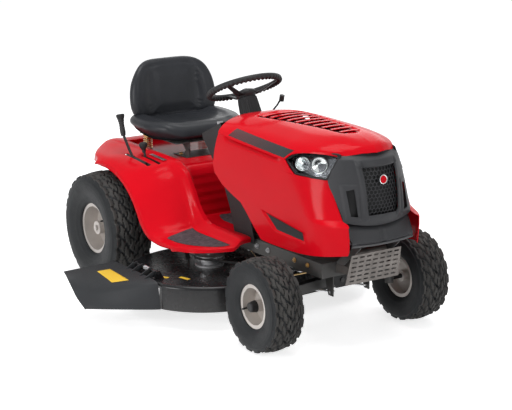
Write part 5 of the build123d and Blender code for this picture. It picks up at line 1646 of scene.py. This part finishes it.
class MOWER_OT_levers(bpy.types.Operator):
    """Moulded grips of the lift lever and the shift lever, and the plate and marks at their slots"""

    bl_idname = "mower.levers"
    bl_label = "Levers"

    def execute(self, context):
        grip_piece("lift_lever_grip", place(34, -325, 668), place(7, -325, 762), "lift_lever_body",
                   [(0, 10), (0.08, 11.5), (0.2, 12.5), (0.5, 11.5), (0.75, 14.5), (0.92, 19), (0.98, 18.5),
                    (1, 15)],
                   flutes=6, instead_of=("lift_grip",))
        grip_piece("shift_lever_knob", place(156, -290, 606), place(147, -290, 654), "shift_lever_body",
                   [(0, 6), (0.1, 8), (0.3, 9), (0.45, 14), (0.7, 19), (0.9, 17), (0.98, 10), (1, 6)])
        strip = slab("shift_plate", [(-0.009, -0.062), (0.009, -0.062), (0.009, 0.062), (-0.009, 0.062)],
                     0.0014,
                     place(232, -263, 597.5), (0, 1, 0), (1, 0, -0.045), 0.0005)
        finish_piece(strip, "shift_plate", "chassis", FINISHES["silver_zinc"])
        outline = [(-0.002, -0.013), (0.002, -0.013), (0.002, 0.013), (-0.002, 0.013)]
        for index, x in enumerate((4, 28, 52)):
            mark = slab(f"lift_mark_{index}", outline, 0.001,
                        place(x, -300, 589), (1, 0, 0), (0, 1, 0.12), 0.0003)
            finish_piece(mark, f"lift_mark_{index}", "chassis", FINISHES["dash_grey"])
        return {"FINISHED"}


# ---------------------------------------------------------------- chute, covers and small parts
def hex_bolt(name, at, facing, size, finish_name, body):
    """A hexagon-headed bolt with a washer and a domed top."""
    half = size / 1000
    rows = []
    for k in range(24):
        angle = 2 * math.pi * k / 24
        across = half * math.cos(math.pi / 6) / math.cos((angle % (math.pi / 3)) - math.pi / 6)
        profile = (
            (0.0, half * 0.5), (0.0, half * 1.5), (0.0014, half * 1.5), (0.0014, across),
            (0.0016, across), (half, across), (half * 1.15, across * 0.86), (half * 1.15, 0.0002),
        )
        rows.append([(radius * math.cos(angle), radius * math.sin(angle), along) for along,
                     radius in profile])
    made = grid_object(name, rows, closed_rows=True, closed_columns=True)
    turn = Vector(facing).to_track_quat("Z", "Y").to_matrix().to_4x4()
    made.data.transform(Matrix.Translation(Vector(at)) @ turn)
    crisp(flip_if_inside_out(made), 30)
    return finish_piece(made, name, body, FINISHES[finish_name])


# The chute's cross-section at its hinge and at its outer end, as (x, z) points in millimetres.
CHUTE_ROOT = [(374, 203), (470, 204), (600, 204), (700, 202), (728, 197), (740, 186), (748, 150), (758, 87)]
CHUTE_END = [(386, 204), (410, 186), (438, 163), (466, 140), (482, 127), (498, 117), (528, 103), (566, 87)]


def chute_reach(part):
    """How far to the side the chute is at a share of its length, in millimetres."""
    return -570 - (821 - 570) * part


def chute_section(part):
    """The chute's cross-section at a share of its length."""
    bend = part ** 1.15
    return dense_line([(a + (c - a) * bend, b + (d - b) * bend)
                       for (a, b), (c, d) in zip(CHUTE_ROOT, CHUTE_END)], 48)


class MOWER_OT_chute(bpy.types.Operator):
    """Discharge chute with a bent top, ribs at its hinge, a coil spring and a plain yellow patch"""

    bl_idname = "mower.chute"
    bl_label = "Discharge chute"

    def execute(self, context):
        rows = []
        for k in range(41):
            part = k / 40
            rows.append([place(x, chute_reach(part), z) for x, z in chute_section(part)])
        shell = flip_if_inside_out(grid_object("chute_shell", rows))
        if shell.data.polygons[900].normal.z < 0:
            shell.data.flip_normals()
        add_modifier(shell, "SOLIDIFY", thickness=0.0035, offset=-1)
        apply_modifiers(shell)
        crisp(shell, 42)
        shell.data.materials.append(FINISHES["chute_plastic"])
        pieces = [shell]
        outer = [place(x, -818.5, z) for x, z in dense_line(CHUTE_END, 40)]
        lip = tube("lip", [point - Vector((0, 0, 0.003)) for point in outer], 0.0024, steps=10)
        lip.data.materials.append(FINISHES["chute_plastic"])
        pieces.append(lip)
        rib_outline = [(-0.066, -0.003), (-0.034, -0.003), (0.001, 0.004), (0.008, 0.012),
                       (0.01, 0.022), (0.004, 0.029), (-0.02, 0.024), (-0.05, 0.006)]
        for x in (500, 545, 620, 665):
            rib = slab("rib", rib_outline, 0.005, place(x, -535, 199), (0, 1, 0), (0, 0, 1), 0.0008)
            rib.data.materials.append(FINISHES["chute_plastic"])
            pieces.append(rib)
        whole = join("chute", pieces)
        finish_piece(whole, "chute", "chute", None, ("discharge_chute",))
        coil = []
        for k in range(181):
            angle = 2 * math.pi * k / 20
            coil.append(place(570 + 40 * k / 180, -535 + 8.2 * math.cos(angle), 218 + 8.2 * math.sin(angle)))
        spring = tube("chute_spring", coil, 0.0011, steps=8)
        finish_piece(spring, "chute_spring", "chute", FINISHES["silver_zinc"])
        rows = []
        for row in range(9):
            part = 0.28 + 0.22 * row / 8
            section = chute_section(part)
            line = []
            for column in range(13):
                share = column / 12
                x, z = section[int(7 + share * 11)]
                line.append(place(x, chute_reach(part), z + 0.9))
            rows.append(line)
        patch = flip_if_inside_out(grid_object("chute_patch", rows))
        add_modifier(patch, "SOLIDIFY", thickness=0.0004, offset=0)
        apply_modifiers(patch)
        finish_piece(patch, "chute_patch", "chute", FINISHES["label_yellow"])
        return {"FINISHED"}


class MOWER_OT_column(bpy.types.Operator):
    """Fluted steering column cover"""

    bl_idname = "mower.column"
    bl_label = "Column cover"

    def execute(self, context):
        ahead, left, along = column_frame()
        centre = place(*WHEEL_MIDDLE)
        steps = 168
        rows = []
        for k in range(31):
            part = k / 30
            down = 0.05 + 0.118 * part
            half_a = 0.038 + 0.008 * part + 0.005 * eased(part, 0.85, 1.0)
            half_b = 0.040 + 0.008 * part + 0.006 * eased(part, 0.85, 1.0)
            fluted = eased(part, 0.05, 0.12) * (1 - eased(part, 0.86, 0.92))
            row = []
            for step in range(steps):
                angle = 2 * math.pi * step / steps
                flute = 1 + 0.022 * math.cos(angle * 24) * fluted
                c, s = math.cos(angle), math.sin(angle)
                forward = ahead * (half_a * math.copysign(abs(c) ** 0.8, c))
                aside = left * (half_b * math.copysign(abs(s) ** 0.8, s))
                row.append(centre - along * down + (forward + aside) * flute)
            rows.append(row)
        made = grid_object("column_sleeve", rows, closed_columns=True)
        close_ends(made)
        crisp(flip_if_inside_out(made), 50)
        finish_piece(made, "column_sleeve", "chassis", FINISHES["dash_black"],
                     ("column_cover",))
        return {"FINISHED"}


class MOWER_OT_shade_and_supports(bpy.types.Operator):
    """Near-black sheet under the louvres as painted shade inside the hood, fender supports behind the lever
    slots, and bolts
    """

    bl_idname = "mower.liners"
    bl_label = "Painted shade, supports and bolts"

    def execute(self, context):
        # A near-black sheet under the louvre opening: painted shade where the inside of the hood lies in
        # shadow.
        rows = []
        for k in range(25):
            x = 735 + 597 * k / 24
            drop = between(x, [(735, 9), (752, 34), (800, 44), (1332, 44)])
            half = 150 * between(x, [(762, 1), (1332, 0.7)])
            shares = [step / 10 - 1 for step in range(21)]
            rows.append([place(x, half * share,
                               curve(x, CROWN) - drop - 10 * share ** 2) for share in shares])
        shade_sheet = flip_if_inside_out(grid_object("louvre_shade_sheet", rows))
        add_modifier(shade_sheet, "SOLIDIFY", thickness=0.002)
        apply_modifiers(shade_sheet)
        finish_piece(shade_sheet, "louvre_shade_sheet", "hood", FINISHES["dash_black"])
        for side, word in ((-1, "right"), (1, "left")):
            outline = [(-0.22, 0.0), (0.06, 0.0), (0.1, 0.03), (0.1, 0.075), (0.04, 0.106), (-0.22, 0.108),
                       (-0.26, 0.06)]
            support = slab(f"fender_support_{word}", outline, 0.003, place(190, side * 262, 482), (1, 0, 0),
                           (0, 0, 1), 0.001)
            finish_piece(support, f"fender_support_{word}", "chassis", FINISHES["frame_black"])
        # Bolts: place, the way they face, half width of the head, finish and body.
        bolts = [
            ((1150, -172, 325), (0, -1, 0), 7, "gold_zinc", "chassis"),
            ((1240, -172, 325), (0, -1, 0), 7, "gold_zinc", "chassis"),
            ((960, -172, 322), (0, -1, 0), 8, "silver_zinc", "chassis"),
            ((880, -172, 322), (0, -1, 0), 8, "silver_zinc", "chassis"),
            ((1150, 172, 325), (0, 1, 0), 7, "gold_zinc", "chassis"),
            ((1240, 172, 325), (0, 1, 0), 7, "gold_zinc", "chassis"),
            ((150, -95, 577.5), (0, 0, 1), 7, "gold_zinc", "chassis"),
            ((150, 95, 577.5), (0, 0, 1), 7, "gold_zinc", "chassis"),
        ]
        for index, (at, facing, size, finish_name, body) in enumerate(bolts):
            hex_bolt(f"bolt_{index}", place(*at), facing, size, finish_name, body)
        for index, (x, y, turn) in enumerate(((668, -505, 0.5), (735, -440, 0.25))):
            along, across = (math.cos(turn), math.sin(turn), 0), (-math.sin(turn), math.cos(turn), 0)
            outline = [(-0.026, -0.009), (0.026, -0.009), (0.026, 0.009), (-0.026, 0.009)]
            label = slab(f"deck_patch_{index}", outline, 0.0006, place(x, y, 193.4), along, across, 0)
            finish_piece(label, f"deck_patch_{index}", "deck", FINISHES["label_yellow"])
        for side, word in ((-1, "right"), (1, "left")):
            for index, angle in enumerate((30, 120, 210, 300)):
                a = math.radians(angle)
                at = place(620 + 50 * math.cos(a), side * 245 + 50 * math.sin(a), 197)
                hex_bolt(f"spindle_bolt_{word}_{index}", at, (0, 0, 1), 6, "silver_zinc", "deck")
        return {"FINISHED"}


OPERATORS = (
    MOWER_OT_stage,
    MOWER_OT_finishes,
    MOWER_OT_hood,
    MOWER_OT_nose,
    MOWER_OT_headlights,
    MOWER_OT_tyres,
    MOWER_OT_fenders,
    MOWER_OT_mats,
    MOWER_OT_seat,
    MOWER_OT_wheel,
    MOWER_OT_levers,
    MOWER_OT_chute,
    MOWER_OT_column,
    MOWER_OT_shade_and_supports,
)


# ---------------------------------------------------------------- add-on
class MOWER_PT_panel(bpy.types.Panel):
    """The machine's pieces, in the sidebar"""

    bl_label = "Ride-On Mower"
    bl_idname = "MOWER_PT_panel"
    bl_space_type = "VIEW_3D"
    bl_region_type = "UI"
    bl_category = "Mower"

    def draw(self, context):
        sizes = context.scene.mower_sizes
        for name in ("body_colour", "tread_depth", "seam_depth", "lamp_power"):
            self.layout.prop(sizes, name)
        for operator in OPERATORS:
            self.layout.operator(operator.bl_idname)


CLASSES = (MowerSizes, *OPERATORS, MOWER_PT_panel)


def register():
    """Adds the operators, the panel and the settings."""
    for kind in CLASSES:
        bpy.utils.register_class(kind)
    bpy.types.Scene.mower_sizes = bpy.props.PointerProperty(type=MowerSizes)


def unregister():
    """Takes them away again."""
    del bpy.types.Scene.mower_sizes
    for kind in reversed(CLASSES):
        bpy.utils.unregister_class(kind)


def main():
    """Builds everything in order."""
    register()
    for operator in OPERATORS:
        group, action = operator.bl_idname.split(".")
        getattr(getattr(bpy.ops, group), action)()


if __name__ == "__main__":
    main()
